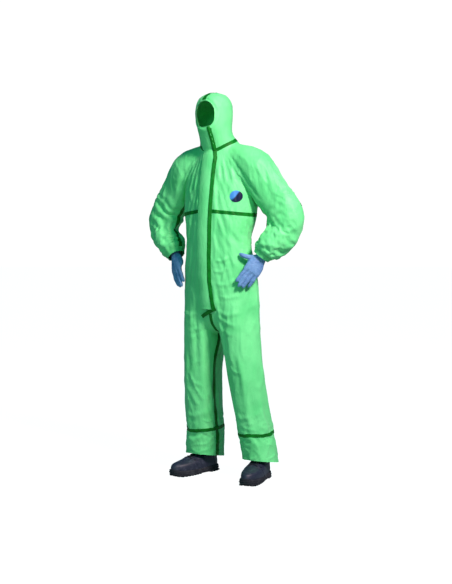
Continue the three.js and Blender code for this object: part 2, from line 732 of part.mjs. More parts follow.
for (const [name, side] of bothSides) {
  const shoulderCloth = sleeve.tube(yokeEnd + jointGap, sleeveStart - jointGap, 3).subtract(trunkClear);
  add(`shoulder_cloth_${name}`, shoulderCloth, green, side);
  add(`sleeve_upper_${name}`, sleeve.tube(sleeveStart, elbowAt - elbowClear, 2).subtract(trunkClear), green, side);
  add(`elbow_cloth_${name}`, sleeve.tube(elbowAt - elbowClear + jointGap, elbowAt + elbowClear - jointGap, 5), green, side);
  add(`sleeve_lower_${name}`, sleeve.tube(elbowAt + elbowClear, cuffStart - jointGap, 5), green, side);
  add(`sleeve_seam_tape_${name}`, lengthTape(sleeve, underarm.from, underarm.to, -Math.PI / 2, tapeWidth, 5), darkTape, side);
  add(`cuff_elastic_${name}`, sleeve.tube(cuffStart, wristAt + cuffWidth / 2, 1, 1.5, clothWall + 1), greenBand, side);
  add(`glove_${name}`, glove(side), gloveBlue, side);

  const thighStart = down(floorToHipPivot - hipClear);
  const kneeAt = down(floorToKnee);
  const shinAt = down(floorToShinSeam);
  const hemAt = down(floorToHem);
  add(`hip_cloth_${name}`, leg.tube(jointGap, thighStart - jointGap, 2), green, side);
  add(`leg_upper_${name}`, leg.tube(thighStart, kneeAt - kneeClear, 2), green, side);
  add(`knee_cloth_${name}`, leg.tube(kneeAt - kneeClear + jointGap, kneeAt + kneeClear - jointGap, 3), green, side);
  add(`leg_lower_${name}`, leg.tube(kneeAt + kneeClear, shinAt - jointGap, 3), green, side);
  add(`shin_seam_tape_${name}`, leg.tube(shinAt - tapeWidth / 2, shinAt + tapeWidth / 2, 1, tapeLift + tapeThickness, tapeThickness), darkTape, side);
  add(`leg_hem_${name}`, leg.tube(shinAt, hemAt, 2), green, side);
  const inseam = -Math.PI / 2 - 0.5;
  add(`inseam_tape_${name}`, lengthTape(leg, kneeAt + kneeClear + 2, shinAt - tapeWidth / 2 - 2, inseam, tapeWidth, 4), darkTape, side);

  const turned = (solid) => solid.rotate([0, 0, footTurnOut]).translate([ankle.x, ankle.y, 0]);
  const upper = shoe.tube(soleThickness, shoeCollarHeight, shoeRows, 0, shoeWall);
  add(`shoe_sole_${name}`, turned(soleSolid()), soleRubber, side);
  add(`shoe_upper_${name}`, turned(upper), shoeBlack, side);
  add(`shoe_lace_${name}`, turned(laceSolid()), laceDark, side);
}

export default suit;
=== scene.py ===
"""A hooded chemical protective suit with its gloves and safety shoes, dressed in worn shape."""

import logging
import math
from dataclasses import dataclass, field
from enum import Enum
from typing import Callable, Iterable, Sequence

import bmesh
import bpy
import numpy as np
from mathutils import Matrix, Vector, noise


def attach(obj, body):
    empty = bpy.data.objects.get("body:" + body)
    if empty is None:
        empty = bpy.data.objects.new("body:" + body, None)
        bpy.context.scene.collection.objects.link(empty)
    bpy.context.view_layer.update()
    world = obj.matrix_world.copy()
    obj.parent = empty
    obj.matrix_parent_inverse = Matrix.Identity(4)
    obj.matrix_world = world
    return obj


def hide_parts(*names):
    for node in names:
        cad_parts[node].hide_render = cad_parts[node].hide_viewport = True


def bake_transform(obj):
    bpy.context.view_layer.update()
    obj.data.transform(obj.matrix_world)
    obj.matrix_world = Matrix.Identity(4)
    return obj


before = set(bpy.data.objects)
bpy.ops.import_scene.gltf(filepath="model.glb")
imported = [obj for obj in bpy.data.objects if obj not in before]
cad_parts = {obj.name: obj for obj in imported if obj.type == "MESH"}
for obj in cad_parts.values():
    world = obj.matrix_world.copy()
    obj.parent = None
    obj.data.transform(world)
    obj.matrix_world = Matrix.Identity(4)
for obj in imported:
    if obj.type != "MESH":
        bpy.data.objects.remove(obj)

log = logging.getLogger("suit")

Points = np.ndarray
Triple = tuple[float, float, float]
Piece = bpy.types.Object
Material = bpy.types.Material
Socket = bpy.types.NodeSocket
Shape = bmesh.types.BMesh
Measure = Callable[[Points], np.ndarray]
Lift = float | Measure

ENDLESS = 1e3  # metres; a band's open end
REMESH = 0.010
DRAPE_FRAMES = 24
FILM_WALL = 0.0009
TAPE_WALL = 0.0007
TAPE_HALF = 0.0082

NECK_CENTRE = Vector((0.0, -0.008, 1.572))
NECK_LEAN = math.radians(18)
NECK_NORMAL = Vector((0.0, -math.sin(NECK_LEAN), math.cos(NECK_LEAN)))
NECK_CLIMB = 0.022
NECK_BLEND = (NECK_CENTRE + NECK_NORMAL * 0.024, NECK_CENTRE + NECK_NORMAL * 0.090)
FACE_CENTRE = Vector((-0.006, -0.130, 1.713))
FACE_HALF = (0.049, 0.0600)
SHOULDER = Vector((0.190, 0.010, 1.466))
ELBOW = Vector((0.380, 0.030, 1.250))
WRIST = Vector((0.244, -0.026, 1.064))
UPPER_ARM = (ELBOW - SHOULDER).normalized()
FOREARM = (WRIST - ELBOW).normalized()
ARM_PLANE = UPPER_ARM.cross(FOREARM).normalized()
ARM_INWARD = (FOREARM - UPPER_ARM).normalized()
ARMHOLE = Vector((0.203, 0.0, 1.315))
ARMHOLE_NORMAL = Vector((0.972, 0.0, 0.233))
ELBOW_CUT = Vector((0.268, 0.0, 1.268))
ELBOW_CUT_NORMAL = Vector((0.300, 0.0, -0.954))
HIP_CUT = 0.700
HIP_BLEND = (0.695, 0.580)
KNEE_CUT = 0.570
KNEE_BLEND = (0.562, 0.435)
SHIN_CUT = 0.228
HEM = 0.088
HEM_SLOPE = 0.17
CHEST_SEAM = 1.268
ZIP_X = -0.008
ANKLE = Vector((0.160, 0.100, 0.0))
TOE_OUT = math.radians(12)
BADGE_AT = (0.140, 1.335)
FLAP_BLEND = ((0.021, -0.145, 1.18), (-0.002, -0.145, 1.18))
FLAP_FREE_X = -0.037
FLAP_TENT = 0.0095
FLAP_CLOSE = 0.0026
FLAP_WALL = 0.0013
TAPE_LIFT = 0.0011
RIM_TAPE_REACH = 1.03


class Side(Enum):
    """A side of the wearer; the value is the sign of its X."""

    LEFT = 1
    RIGHT = -1

    @property
    def word(self) -> str:
        """The side's name as the frame spells it."""
        return self.name.lower()

    def turned(self, point: Sequence[float]) -> Vector:
        """A point given for the left side, taken to this side."""
        return Vector((point[0] * self.value, point[1], point[2]))


class Finish(Enum):
    """The finishes, each with the record's material slot that it belongs to."""

    CLOTH = "green_cloth"
    ELASTIC = "green_elastic"
    TAPE = "seam_tape"
    ZIP = "zip_green"
    NITRILE = "glove_nitrile"
    LEATHER = "shoe_leather"
    RUBBER = "sole_rubber"
    LACE = "lace_cord"
    BADGE = "badge_blue"


# ---- materials ----


class Recipe:
    """Lays out the nodes of one material around its shader."""

    def __init__(self, name: str, roughness: float, specular: float = 0.5) -> None:
        """Starts a material.

        Args:
            name: the material's name.
            roughness: how matt it is where nothing else drives it.
            specular: the strength of its reflections.
        """
        self.material = bpy.data.materials.new(name)
        self.material.use_nodes = True
        tree = self.material.node_tree
        self.nodes, self.links = tree.nodes, tree.links
        self.shader = self.nodes["Principled BSDF"]
        self.shader.inputs["Roughness"].default_value = roughness
        self.shader.inputs["Specular IOR Level"].default_value = specular
        self.place = self.nodes.new("ShaderNodeTexCoord").outputs["Object"]

    def stretched(self, scale: Sequence[float], turn: Sequence[float] = (0, 0, 0)) -> Socket:
        """Object coordinates scaled and turned.

        Args:
            scale: the stretch on each axis.
            turn: the turn about each axis in degrees.

        Returns:
            The socket of the new coordinates.
        """
        mapping = self.nodes.new("ShaderNodeMapping")
        mapping.inputs["Scale"].default_value = scale
        mapping.inputs["Rotation"].default_value = [math.radians(t) for t in turn]
        self.links.new(self.place, mapping.inputs["Vector"])
        return mapping.outputs["Vector"]

    def noise(self, scale: float, detail: float = 2.0, place: Socket | None = None, warp: float = 0.0) -> Socket:
        """A noise pattern.

        Args:
            scale: its frequency per metre.
            detail: its octaves.
            place: the coordinates it reads.
            warp: how much it is distorted.

        Returns:
            The factor's socket.
        """
        made = self.nodes.new("ShaderNodeTexNoise")
        made.inputs["Scale"].default_value = scale
        made.inputs["Detail"].default_value = detail
        made.inputs["Distortion"].default_value = warp
        self.links.new(place or self.place, made.inputs["Vector"])
        return made.outputs["Fac"]

    def cells(self, scale: float) -> Socket:
        """The distance to the nearest cell centre of a cell pattern."""
        made = self.nodes.new("ShaderNodeTexVoronoi")
        made.inputs["Scale"].default_value = scale
        self.links.new(self.place, made.inputs["Vector"])
        return made.outputs["Distance"]

    def wave(self, scale: float, place: Socket, warp: float = 0.0) -> Socket:
        """A band pattern.

        Args:
            scale: bands per metre, by the node's own measure.
            place: the coordinates it reads.
            warp: how much the bands waver.

        Returns:
            The factor's socket.
        """
        made = self.nodes.new("ShaderNodeTexWave")
        made.bands_direction = "X"
        made.inputs["Scale"].default_value = scale
        made.inputs["Distortion"].default_value = warp
        made.inputs["Detail"].default_value = 2.0
        self.links.new(place, made.inputs["Vector"])
        return made.outputs["Fac"]

    def math(self, operation: str, first: Socket, second: float | Socket = 0.0) -> Socket:
        """One step of arithmetic on two values."""
        made = self.nodes.new("ShaderNodeMath")
        made.operation = operation
        self.links.new(first, made.inputs[0])
        if isinstance(second, (int, float)):
            made.inputs[1].default_value = second
        else:
            self.links.new(second, made.inputs[1])
        return made.outputs["Value"]

    def ridges(self, value: Socket, sharpness: float) -> Socket:
        """Turns a noise into thin crease lines along its middle value."""
        centred = self.math("SUBTRACT", value, 0.5)
        folded = self.math("ABSOLUTE", centred)
        spread = self.math("MULTIPLY", folded, sharpness)
        return self.math("MINIMUM", spread, 1.0)

    def coloured(
        self, factor: Socket, low: Triple, high: Triple, start: float = 0.0, end: float = 1.0
    ) -> None:
        """Colours the shader from low to high as the factor goes from start to end."""
        ramp = self.nodes.new("ShaderNodeValToRGB")
        for stop, place, colour in zip(ramp.color_ramp.elements, (start, end), (low, high)):
            stop.position, stop.color = place, (*colour, 1.0)
        self.links.new(factor, ramp.inputs["Fac"])
        self.links.new(ramp.outputs["Color"], self.shader.inputs["Base Color"])

    def matt(self, value: Socket, low: float, high: float) -> None:
        """Drives the roughness from low to high by a value from 0 to 1."""
        spread = self.math("MULTIPLY", value, high - low)
        self.links.new(self.math("ADD", spread, low), self.shader.inputs["Roughness"])

    def raised(self, heights: Iterable[tuple[Socket, float, float]]) -> None:
        """Raises the surface by several patterns.

        Args:
            heights: each pattern with its strength and its depth in metres.
        """
        below = None
        for value, strength, depth in heights:
            bump = self.nodes.new("ShaderNodeBump")
            bump.inputs["Strength"].default_value = strength
            bump.inputs["Distance"].default_value = depth
            self.links.new(value, bump.inputs["Height"])
            if below is not None:
                self.links.new(below, bump.inputs["Normal"])
            below = bump.outputs["Normal"]
        self.links.new(below, self.shader.inputs["Normal"])


@dataclass(frozen=True)
class Palette:
    """The colours of the suit, linear."""

    cloth: Triple = (0.170, 0.800, 0.290)
    cloth_deep: Triple = (0.120, 0.710, 0.235)
    tape: Triple = (0.001, 0.130, 0.008)
    tape_lit: Triple = (0.002, 0.190, 0.014)
    nitrile: Triple = (0.170, 0.340, 0.640)
    nitrile_deep: Triple = (0.110, 0.240, 0.520)
    leather: Triple = (0.018, 0.022, 0.045)
    leather_worn: Triple = (0.055, 0.065, 0.100)
    rubber: Triple = (0.014, 0.016, 0.024)
    rubber_dusty: Triple = (0.045, 0.048, 0.058)
    lace: Triple = (0.020, 0.021, 0.030)
    badge_light: Triple = (0.060, 0.260, 0.700)
    badge_dark: Triple = (0.004, 0.008, 0.045)


class Wardrobe:
    """Makes each finish once and hands it out."""

    def __init__(self, palette: Palette) -> None:
        """Builds every material from the palette."""
        self.palette = palette
        self.made = {
            Finish.CLOTH: self._cloth(),
            Finish.ELASTIC: self._elastic(),
            Finish.TAPE: self._tape(),
            Finish.ZIP: self._zip(),
            Finish.NITRILE: self._nitrile(),
            Finish.LEATHER: self._leather(),
            Finish.RUBBER: self._rubber(),
            Finish.LACE: self._lace(),
            Finish.BADGE: self._badge(),
        }

    def dress(self, piece: Piece, finish: Finish) -> None:
        """Gives a piece its material."""
        piece.data.materials.clear()
        piece.data.materials.append(self.made[finish])

    def _cloth(self) -> Material:
        """Matt film-coated nonwoven: a fibrous grain, soft crinkles and faint creases."""
        recipe = Recipe("coated_nonwoven", 0.55, 0.35)
        patches = recipe.noise(9.0, 3.0)
        recipe.coloured(patches, self.palette.cloth_deep, self.palette.cloth, 0.34, 0.58)
        crinkle = recipe.ridges(recipe.noise(17.0, 3.0, recipe.stretched((1.5, 1.5, 0.55)), 0.5), 8.0)
        fine = recipe.ridges(recipe.noise(48.0, 2.0, recipe.stretched((1.3, 1.3, 0.7)), 0.6), 7.0)
        fibres = recipe.noise(900.0)
        recipe.matt(recipe.noise(60.0), 0.46, 0.64)
        recipe.shader.inputs["Sheen Weight"].default_value = 0.12
        recipe.shader.inputs["Sheen Roughness"].default_value = 0.5
        recipe.raised([(crinkle, 0.30, 0.0020), (fine, 0.35, 0.0008), (fibres, 0.30, 0.00022)])
        return recipe.material

    def _elastic(self) -> Material:
        """The same film gathered over rubber: close ripples."""
        recipe = Recipe("gathered_edge", 0.6, 0.3)
        patches = recipe.noise(30.0)
        recipe.coloured(patches, self.palette.cloth_deep, self.palette.cloth, 0.3, 0.62)
        ripple = recipe.noise(1.0, 2.0, recipe.stretched((420.0, 420.0, 60.0)))
        recipe.raised([(ripple, 0.6, 0.0011), (recipe.noise(800.0), 0.3, 0.0002)])
        return recipe.material

    def _tape(self) -> Material:
        """Heat-sealed seam tape: smooth, slightly puckered film."""
        recipe = Recipe("sealed_tape", 0.45, 0.18)
        recipe.coloured(recipe.noise(40.0), self.palette.tape, self.palette.tape_lit, 0.35, 0.65)
        recipe.matt(recipe.noise(180.0), 0.40, 0.55)
        pucker = recipe.noise(130.0, 3.0, warp=0.5)
        recipe.raised([(pucker, 0.5, 0.0009), (recipe.noise(1100.0, 1.0), 0.25, 0.00015)])
        return recipe.material

    def _zip(self) -> Material:
        """Moulded green zip plastic."""
        recipe = Recipe("moulded_zip", 0.35, 0.5)
        recipe.coloured(recipe.noise(90.0), (0.030, 0.300, 0.080), (0.045, 0.380, 0.110), 0.3, 0.7)
        recipe.raised([(recipe.noise(700.0), 0.25, 0.0002)])
        return recipe.material

    def _nitrile(self) -> Material:
        """Thin dipped nitrile: fine stretch wrinkles and a soft shine."""
        recipe = Recipe("dipped_nitrile", 0.42, 0.5)
        tone = recipe.noise(34.0, 4.0, warp=0.7)
        recipe.coloured(tone, self.palette.nitrile_deep, self.palette.nitrile, 0.32, 0.60)
        wrinkles = recipe.ridges(
            recipe.noise(1.0, 3.0, recipe.stretched((70.0, 95.0, 190.0), (20, 35, 0)), 1.1), 6.0
        )
        recipe.matt(recipe.noise(140.0), 0.34, 0.52)
        recipe.raised([(wrinkles, 0.7, 0.0011), (recipe.noise(1600.0, 1.0), 0.3, 0.00012)])
        return recipe.material

    def _leather(self) -> Material:
        """Coated shoe leather: pebble grain with scuffs."""
        recipe = Recipe("coated_leather", 0.5, 0.5)
        scuffs = recipe.noise(46.0, 6.0, warp=0.5)
        recipe.coloured(scuffs, self.palette.leather, self.palette.leather_worn, 0.52, 0.78)
        recipe.matt(scuffs, 0.36, 0.66)
        recipe.raised([(recipe.cells(520.0), 0.5, 0.0005), (recipe.noise(60.0, 3.0), 0.4, 0.0012)])
        return recipe.material

    def _rubber(self) -> Material:
        """Matt moulded sole rubber with dust in its low places."""
        recipe = Recipe("moulded_rubber", 0.8, 0.35)
        recipe.coloured(recipe.noise(30.0, 5.0), self.palette.rubber, self.palette.rubber_dusty, 0.48, 0.74)
        recipe.matt(recipe.noise(80.0), 0.68, 0.9)
        recipe.raised([(recipe.noise(420.0, 3.0), 0.5, 0.0004)])
        return recipe.material

    def _lace(self) -> Material:
        """Braided lace."""
        recipe = Recipe("braided_lace", 0.85, 0.25)
        recipe.coloured(recipe.noise(300.0), self.palette.rubber, self.palette.lace, 0.3, 0.7)
        braid = recipe.wave(380.0, recipe.stretched((1, 1, 1), (0, 40, 30)), 1.5)
        recipe.raised([(braid, 0.8, 0.0006)])
        return recipe.material

    def _badge(self) -> Material:
        """A plain printed disc in two blues that meet in a soft wave."""
        recipe = Recipe("printed_disc", 0.3, 0.5)
        split = recipe.nodes.new("ShaderNodeSeparateXYZ")
        centred = recipe.nodes.new("ShaderNodeMapping")
        centred.inputs["Location"].default_value = (-BADGE_AT[0], 0.0, -BADGE_AT[1])
        recipe.links.new(recipe.place, centred.inputs["Vector"])
        recipe.links.new(centred.outputs["Vector"], split.inputs["Vector"])
        across = recipe.math("MULTIPLY", split.outputs["X"], 16.0)
        wave = recipe.math(
            "MULTIPLY", recipe.math("SINE", recipe.math("MULTIPLY", split.outputs["X"], 150.0)), 0.10
        )
        up = recipe.math("MULTIPLY", split.outputs["Z"], -16.0)
        blend = recipe.math("ADD", recipe.math("ADD", across, up), wave)
        shifted = recipe.math("ADD", blend, 0.56)
        recipe.coloured(shifted, self.palette.badge_light, self.palette.badge_dark, 0.40, 0.56)
        recipe.raised([(recipe.noise(300.0), 0.2, 0.0002)])
        return recipe.material


# ---- lofts and small mesh tools ----


@dataclass(frozen=True)
class Ring:
    """One ring of a loft."""

    along: float
    centre: Triple
    half_u: float
    half_v: float
    u: Triple = (1.0, 0.0, 0.0)
    v: Triple = (0.0, 1.0, 0.0)


class Loft:
    """A tube through rings, smooth along its length."""

    def __init__(self, rings: Sequence[Ring]) -> None:
        """Fits a smooth curve through every number of the rings."""
        self.along = np.array([r.along for r in rings])
        self.rows = np.array([[*r.centre, *r.u, *r.v, r.half_u, r.half_v] for r in rings])
        step = np.diff(self.along)
        slope = np.diff(self.rows, axis=0) / step[:, None]
        self.tangent = np.zeros_like(self.rows)
        self.tangent[0], self.tangent[-1] = slope[0], slope[-1]
        before, after = step[:-1, None], step[1:, None]
        self.tangent[1:-1] = (slope[:-1] * after + slope[1:] * before) / (before + after)

    def at(self, along: float) -> tuple[Vector, Vector, Vector, float, float]:
        """The ring at a distance along the loft.

        Args:
            along: the distance.

        Returns:
            Its centre, its two directions and its two half sizes.
        """
        along = min(max(along, self.along[0]), self.along[-1])
        i = min(max(int(np.searchsorted(self.along, along)) - 1, 0), len(self.along) - 2)
        h = self.along[i + 1] - self.along[i]
        t = (along - self.along[i]) / h
        row = (
            (2 * t**3 - 3 * t**2 + 1) * self.rows[i]
            + (t**3 - 2 * t**2 + t) * h * self.tangent[i]
            + (-2 * t**3 + 3 * t**2) * self.rows[i + 1]
            + (t**3 - t**2) * h * self.tangent[i + 1]
        )
        return Vector(row[0:3]), Vector(row[3:6]).normalized(), Vector(row[6:9]).normalized(), row[9], row[10]

    def into(self, bm: Shape, rows: int, sides: int, grow: Callable[[float], float] | float = 0.0) -> None:
        """Adds the loft to a mesh as a closed tube.

        Args:
            bm: the mesh.
            rows: rows of faces along it.
            sides: faces round it.
            grow: metres added to the half sizes, or a rule for it by distance along.
        """
        first, last = self.along[0], self.along[-1]
        loops = []
        for i in range(rows + 1):
            along = first + (last - first) * i / rows
            centre, u, v, half_u, half_v = self.at(along)
            extra = grow(along) if callable(grow) else grow
            matrix = ring_matrix(centre, u, v, max(half_u + extra, 0.0005), max(half_v + extra, 0.0005))
            made = bmesh.ops.create_circle(bm, cap_ends=i in (0, rows), segments=sides, radius=1.0, matrix=matrix)
            loops.append(list({edge for vert in made["verts"] for edge in vert.link_edges}))
        for low, high in zip(loops, loops[1:]):
            bmesh.ops.bridge_loops(bm, edges=low + high)


def ring_matrix(centre: Vector, u: Vector, v: Vector, half_u: float, half_v: float) -> Matrix:
    """The matrix that takes a unit circle to a ring."""
    normal = u.cross(v)
    matrix = Matrix.Identity(4)
    for i in range(3):
        matrix[i][0], matrix[i][1], matrix[i][2], matrix[i][3] = u[i] * half_u, v[i] * half_v, normal[i], centre[i]
    return matrix


def all_of(bm: Shape) -> list:
    """Every vertex, edge and face of a mesh."""
    return bm.verts[:] + bm.edges[:] + bm.faces[:]


def object_from(bm: Shape, name: str, smooth: bool = True, recalc: bool = True) -> Piece:
    """Turns a mesh under construction into an object.

    Args:
        bm: the mesh, which is freed.
        name: the object's name.
        smooth: whether its faces are shaded smooth.
        recalc: whether its normals are recalculated.

    Returns:
        The object, at the origin.
    """
    if recalc:
        bmesh.ops.recalc_face_normals(bm, faces=bm.faces[:])
    mesh = bpy.data.meshes.new(name)
    bm.to_mesh(mesh)
    bm.free()
    mesh.polygons.foreach_set("use_smooth", [smooth] * len(mesh.polygons))
    made = bpy.data.objects.new(name, mesh)
    bpy.context.scene.collection.objects.link(made)
    return made


def baked(piece: Piece) -> Piece:
    """Applies a piece's modifiers to its mesh."""
    graph = bpy.context.evaluated_depsgraph_get()
    mesh = bpy.data.meshes.new_from_object(piece.evaluated_get(graph))
    piece.modifiers.clear()
    old, piece.data = piece.data, mesh
    bpy.data.meshes.remove(old)
    return piece


def remeshed(piece: Piece, voxel: float) -> Piece:
    """Joins the closed shapes of a piece into one even skin."""
    modifier = piece.modifiers.new("join", "REMESH")
    modifier.mode, modifier.voxel_size, modifier.use_smooth_shade = "VOXEL", voxel, True
    return baked(piece)


def refined(piece: Piece) -> Piece:
    """Subdivides a piece smoothly once and applies it."""
    modifier = piece.modifiers.new("refine", "SUBSURF")
    modifier.levels = modifier.render_levels = 1
    return baked(piece)


def add_mirrored(bm: Shape) -> None:
    """Adds the mirror image in X of everything in a mesh."""
    made = bmesh.ops.duplicate(bm, geom=all_of(bm))["geom"]
    verts = [g for g in made if isinstance(g, bmesh.types.BMVert)]
    faces = [g for g in made if isinstance(g, bmesh.types.BMFace)]
    bmesh.ops.scale(bm, vec=(-1, 1, 1), verts=verts)
    bmesh.ops.reverse_faces(bm, faces=faces)


def soften(bm: Shape, verts: Sequence[bmesh.types.BMVert], rounds: int) -> None:
    """Smooths some vertices a number of times."""
    for _ in range(rounds):
        bmesh.ops.smooth_vert(bm, verts=verts, factor=0.5, use_axis_x=True, use_axis_y=True, use_axis_z=True)


def places_of(mesh: bpy.types.Mesh) -> Points:
    """The mesh's vertices as an array."""
    out = np.empty(len(mesh.vertices) * 3)
    mesh.vertices.foreach_get("co", out)
    return out.reshape(-1, 3)


def normals_of(mesh: bpy.types.Mesh) -> Points:
    """The mesh's vertex normals as an array."""
    out = np.empty(len(mesh.vertices) * 3, dtype=np.float32)
    mesh.vertex_normals.foreach_get("vector", out)
    return out.reshape(-1, 3).astype(float)


def smoothstep(value: np.ndarray, low: float, high: float) -> np.ndarray:
    """0 below low, 1 above high, and a smooth step between."""
    t = np.clip((value - low) / (high - low), 0, 1)
    return t * t * (3 - 2 * t)


def ripple(points: Points, scale: float, seed: float) -> np.ndarray:
    """A soft random height from -1 to 1 for each point, the same on every run."""
    offset = Vector((seed, seed * 1.7, -seed))
    return np.array([noise.noise(Vector(p) * scale + offset) for p in points])


# ---- the shape of the fabric ----


@dataclass
class Pattern:
    """The suit's cut shape: smooth lofts for the trunk, hood, sleeves and legs."""

    zip_radius: float = 1.750
    zip_centre_z: float = 1.125
    zip_front: float = -0.143
    trunk: Loft = field(init=False)
    hood: Loft = field(init=False)
    sleeve: Loft = field(init=False)
    leg: Loft = field(init=False)
    sleeve_wrist: float = field(init=False)
    yoke: float = 0.130

    def __post_init__(self) -> None:
        """Builds the four lofts."""
        neck_v = tuple(Vector((0.0, math.cos(NECK_LEAN), math.sin(NECK_LEAN))))
        neck = Ring(1.572, tuple(NECK_CENTRE), 0.092, 0.083, v=neck_v)
        self.trunk = Loft(
            [Ring(0.712, (0.0, 0.012, 0.712), 0.096, 0.052)]
            + [Ring(0.745, (0.0, 0.010, 0.745), 0.160, 0.098)]
            + [self._trunk_ring(z, half, back) for z, half, back in (
                (0.790, 0.188, 0.122), (0.920, 0.192, 0.140), (1.040, 0.178, 0.118), (1.130, 0.166, 0.106),
                (1.262, 0.188, 0.130), (1.380, 0.190, 0.130), (1.450, 0.178, 0.116), (1.505, 0.138, 0.096))]
            + [neck]
        )
        self.hood = Loft(
            [Ring(1.500, (0.0, 0.0, 1.500), 0.088, 0.080, v=neck_v), neck]
            + [Ring(z, (x, y, z), a, b) for z, x, y, a, b in (
                (1.612, -0.002, -0.034, 0.080, 0.081), (1.640, -0.004, -0.046, 0.075, 0.088),
                (1.680, -0.006, -0.046, 0.078, 0.095), (1.722, -0.008, -0.044, 0.080, 0.099),
                (1.762, -0.009, -0.042, 0.076, 0.095), (1.790, -0.009, -0.040, 0.062, 0.079),
                (1.806, -0.009, -0.039, 0.042, 0.055), (1.816, -0.009, -0.038, 0.006, 0.008))]
        )
        self.leg = Loft(
            [self._leg_ring(*row) for row in (
                (0.850, 0.098, 0.004, 0.080, 0.110, 0), (0.790, 0.098, 0.006, 0.089, 0.117, 3),
                (0.700, 0.102, 0.013, 0.086, 0.119, 10), (0.600, 0.112, 0.024, 0.079, 0.114, 18),
                (0.500, 0.124, 0.037, 0.076, 0.108, 22), (0.380, 0.132, 0.057, 0.078, 0.104, 22),
                (0.255, 0.142, 0.080, 0.084, 0.102, 20), (0.104, 0.158, 0.101, 0.083, 0.099, 16),
                (0.050, 0.163, 0.106, 0.083, 0.099, 16))]
        )
        self.sleeve = self._sleeve()

    def _leg_ring(self, z: float, x: float, y: float, half: float, depth: float, turn: float) -> Ring:
        """A level ring of the left leg, its front crease turned out by some degrees."""
        s, c = math.sin(math.radians(turn)), math.cos(math.radians(turn))
        return Ring(0.79 - z, (x, y, z), half, depth, (c, s, 0.0), (-s, c, 0.0))

    def front(self, z: float | np.ndarray) -> float | np.ndarray:
        """The Y of the front closure at a height, which runs on one arc."""
        return self.zip_front + self.zip_radius - np.sqrt(self.zip_radius**2 - (z - self.zip_centre_z) ** 2)

    def _trunk_ring(self, z: float, half: float, back: float) -> Ring:
        """A level ring of the trunk, from the front arc to its back."""
        front = self.front(z)
        return Ring(z, (0.0, (front + back) / 2, z), half, (back - front) / 2)

    def _sleeve(self) -> Loft:
        """The left sleeve, from inside the yoke round the elbow to past the wrist."""
        upper = (ELBOW - SHOULDER).length
        fore = (WRIST - ELBOW).length
        elbow = self.yoke + upper
        wrist = self.sleeve_wrist = elbow + fore
        bend = UPPER_ARM.angle(FOREARM)
        clear = 0.072
        cut = clear / math.tan(bend / 2) * (1 / math.cos(bend / 2) - 1)
        out = Vector((0.94, 0.02, -0.34)).normalized()

        def ring(along: float, centre: Vector, way: Vector, half_u: float, half_v: float) -> Ring:
            """A ring square to the arm's way."""
            way = way.normalized()
            u = (ARM_PLANE - way * ARM_PLANE.dot(way)).normalized()
            return Ring(along, tuple(centre), half_u, half_v, tuple(u), tuple(way.cross(u).normalized()))

        return Loft([
            ring(0.0, Vector((0.062, -0.002, 1.512)), out, 0.070, 0.068),
            ring(0.068, Vector((0.128, 0.004, 1.500)), out, 0.088, 0.080),
            ring(self.yoke, SHOULDER, out + UPPER_ARM, 0.098, 0.090),
            ring(self.yoke + 0.070, SHOULDER + UPPER_ARM * 0.070, UPPER_ARM, 0.092, 0.086),
            ring(self.yoke + 0.104, SHOULDER + UPPER_ARM * 0.104, UPPER_ARM, 0.086, 0.083),
            ring(elbow - clear, SHOULDER + UPPER_ARM * (upper - clear), UPPER_ARM, 0.078, 0.078),
            ring(elbow, ELBOW + ARM_INWARD * cut, UPPER_ARM + FOREARM, 0.080, 0.082),
            ring(elbow + clear, ELBOW + FOREARM * clear, FOREARM, 0.076, 0.077),
            ring(elbow + 0.170, ELBOW + FOREARM * 0.170, FOREARM, 0.072, 0.072),
            ring(elbow + 0.208, ELBOW + FOREARM * 0.208, FOREARM, 0.062, 0.062),
            ring(wrist - 0.014, ELBOW + FOREARM * (fore - 0.014), FOREARM, 0.0425, 0.0425),
            ring(wrist + 0.022, ELBOW + FOREARM * (fore + 0.022), FOREARM, 0.0435, 0.0435),
        ])

    def solid(self, voxel: float, inner: bool) -> Piece:
        """The whole suit as one closed form.

        Args:
            voxel: the size of its faces.
            inner: whether it is the slimmer form that holds the fabric out.

        Returns:
            The object.
        """

        def sleeve_thin(along: float) -> float:
            """How much wider the inner sleeve is, which is less than nothing."""
            if along >= self.sleeve_wrist - 0.04:
                return -0.006
            return -0.014 - 0.014 * min(max(along - self.yoke, 0.0) / 0.1, 1)

        def leg_thin(along: float) -> float:
            """How much wider the inner leg is, which is less than nothing."""
            return -0.012 - 0.007 * min(max(along, 0) / 0.5, 1)

        bm = bmesh.new()
        self.leg.into(bm, 30, 40, leg_thin if inner else 0.0)
        self.sleeve.into(bm, 40, 36, sleeve_thin if inner else 0.0)
        add_mirrored(bm)
        self.trunk.into(bm, 44, 64, -0.012 if inner else 0.0)
        self.hood.into(bm, 40, 56, -0.004 if inner else 0.0)
        return remeshed(object_from(bm, "inner_form" if inner else "suit_cut"), voxel)


@dataclass(frozen=True)
class Fold:
    """A ridge in the worn fabric, along a line seen from the front."""

    line: tuple[tuple[float, float], ...]
    width: float
    height: float


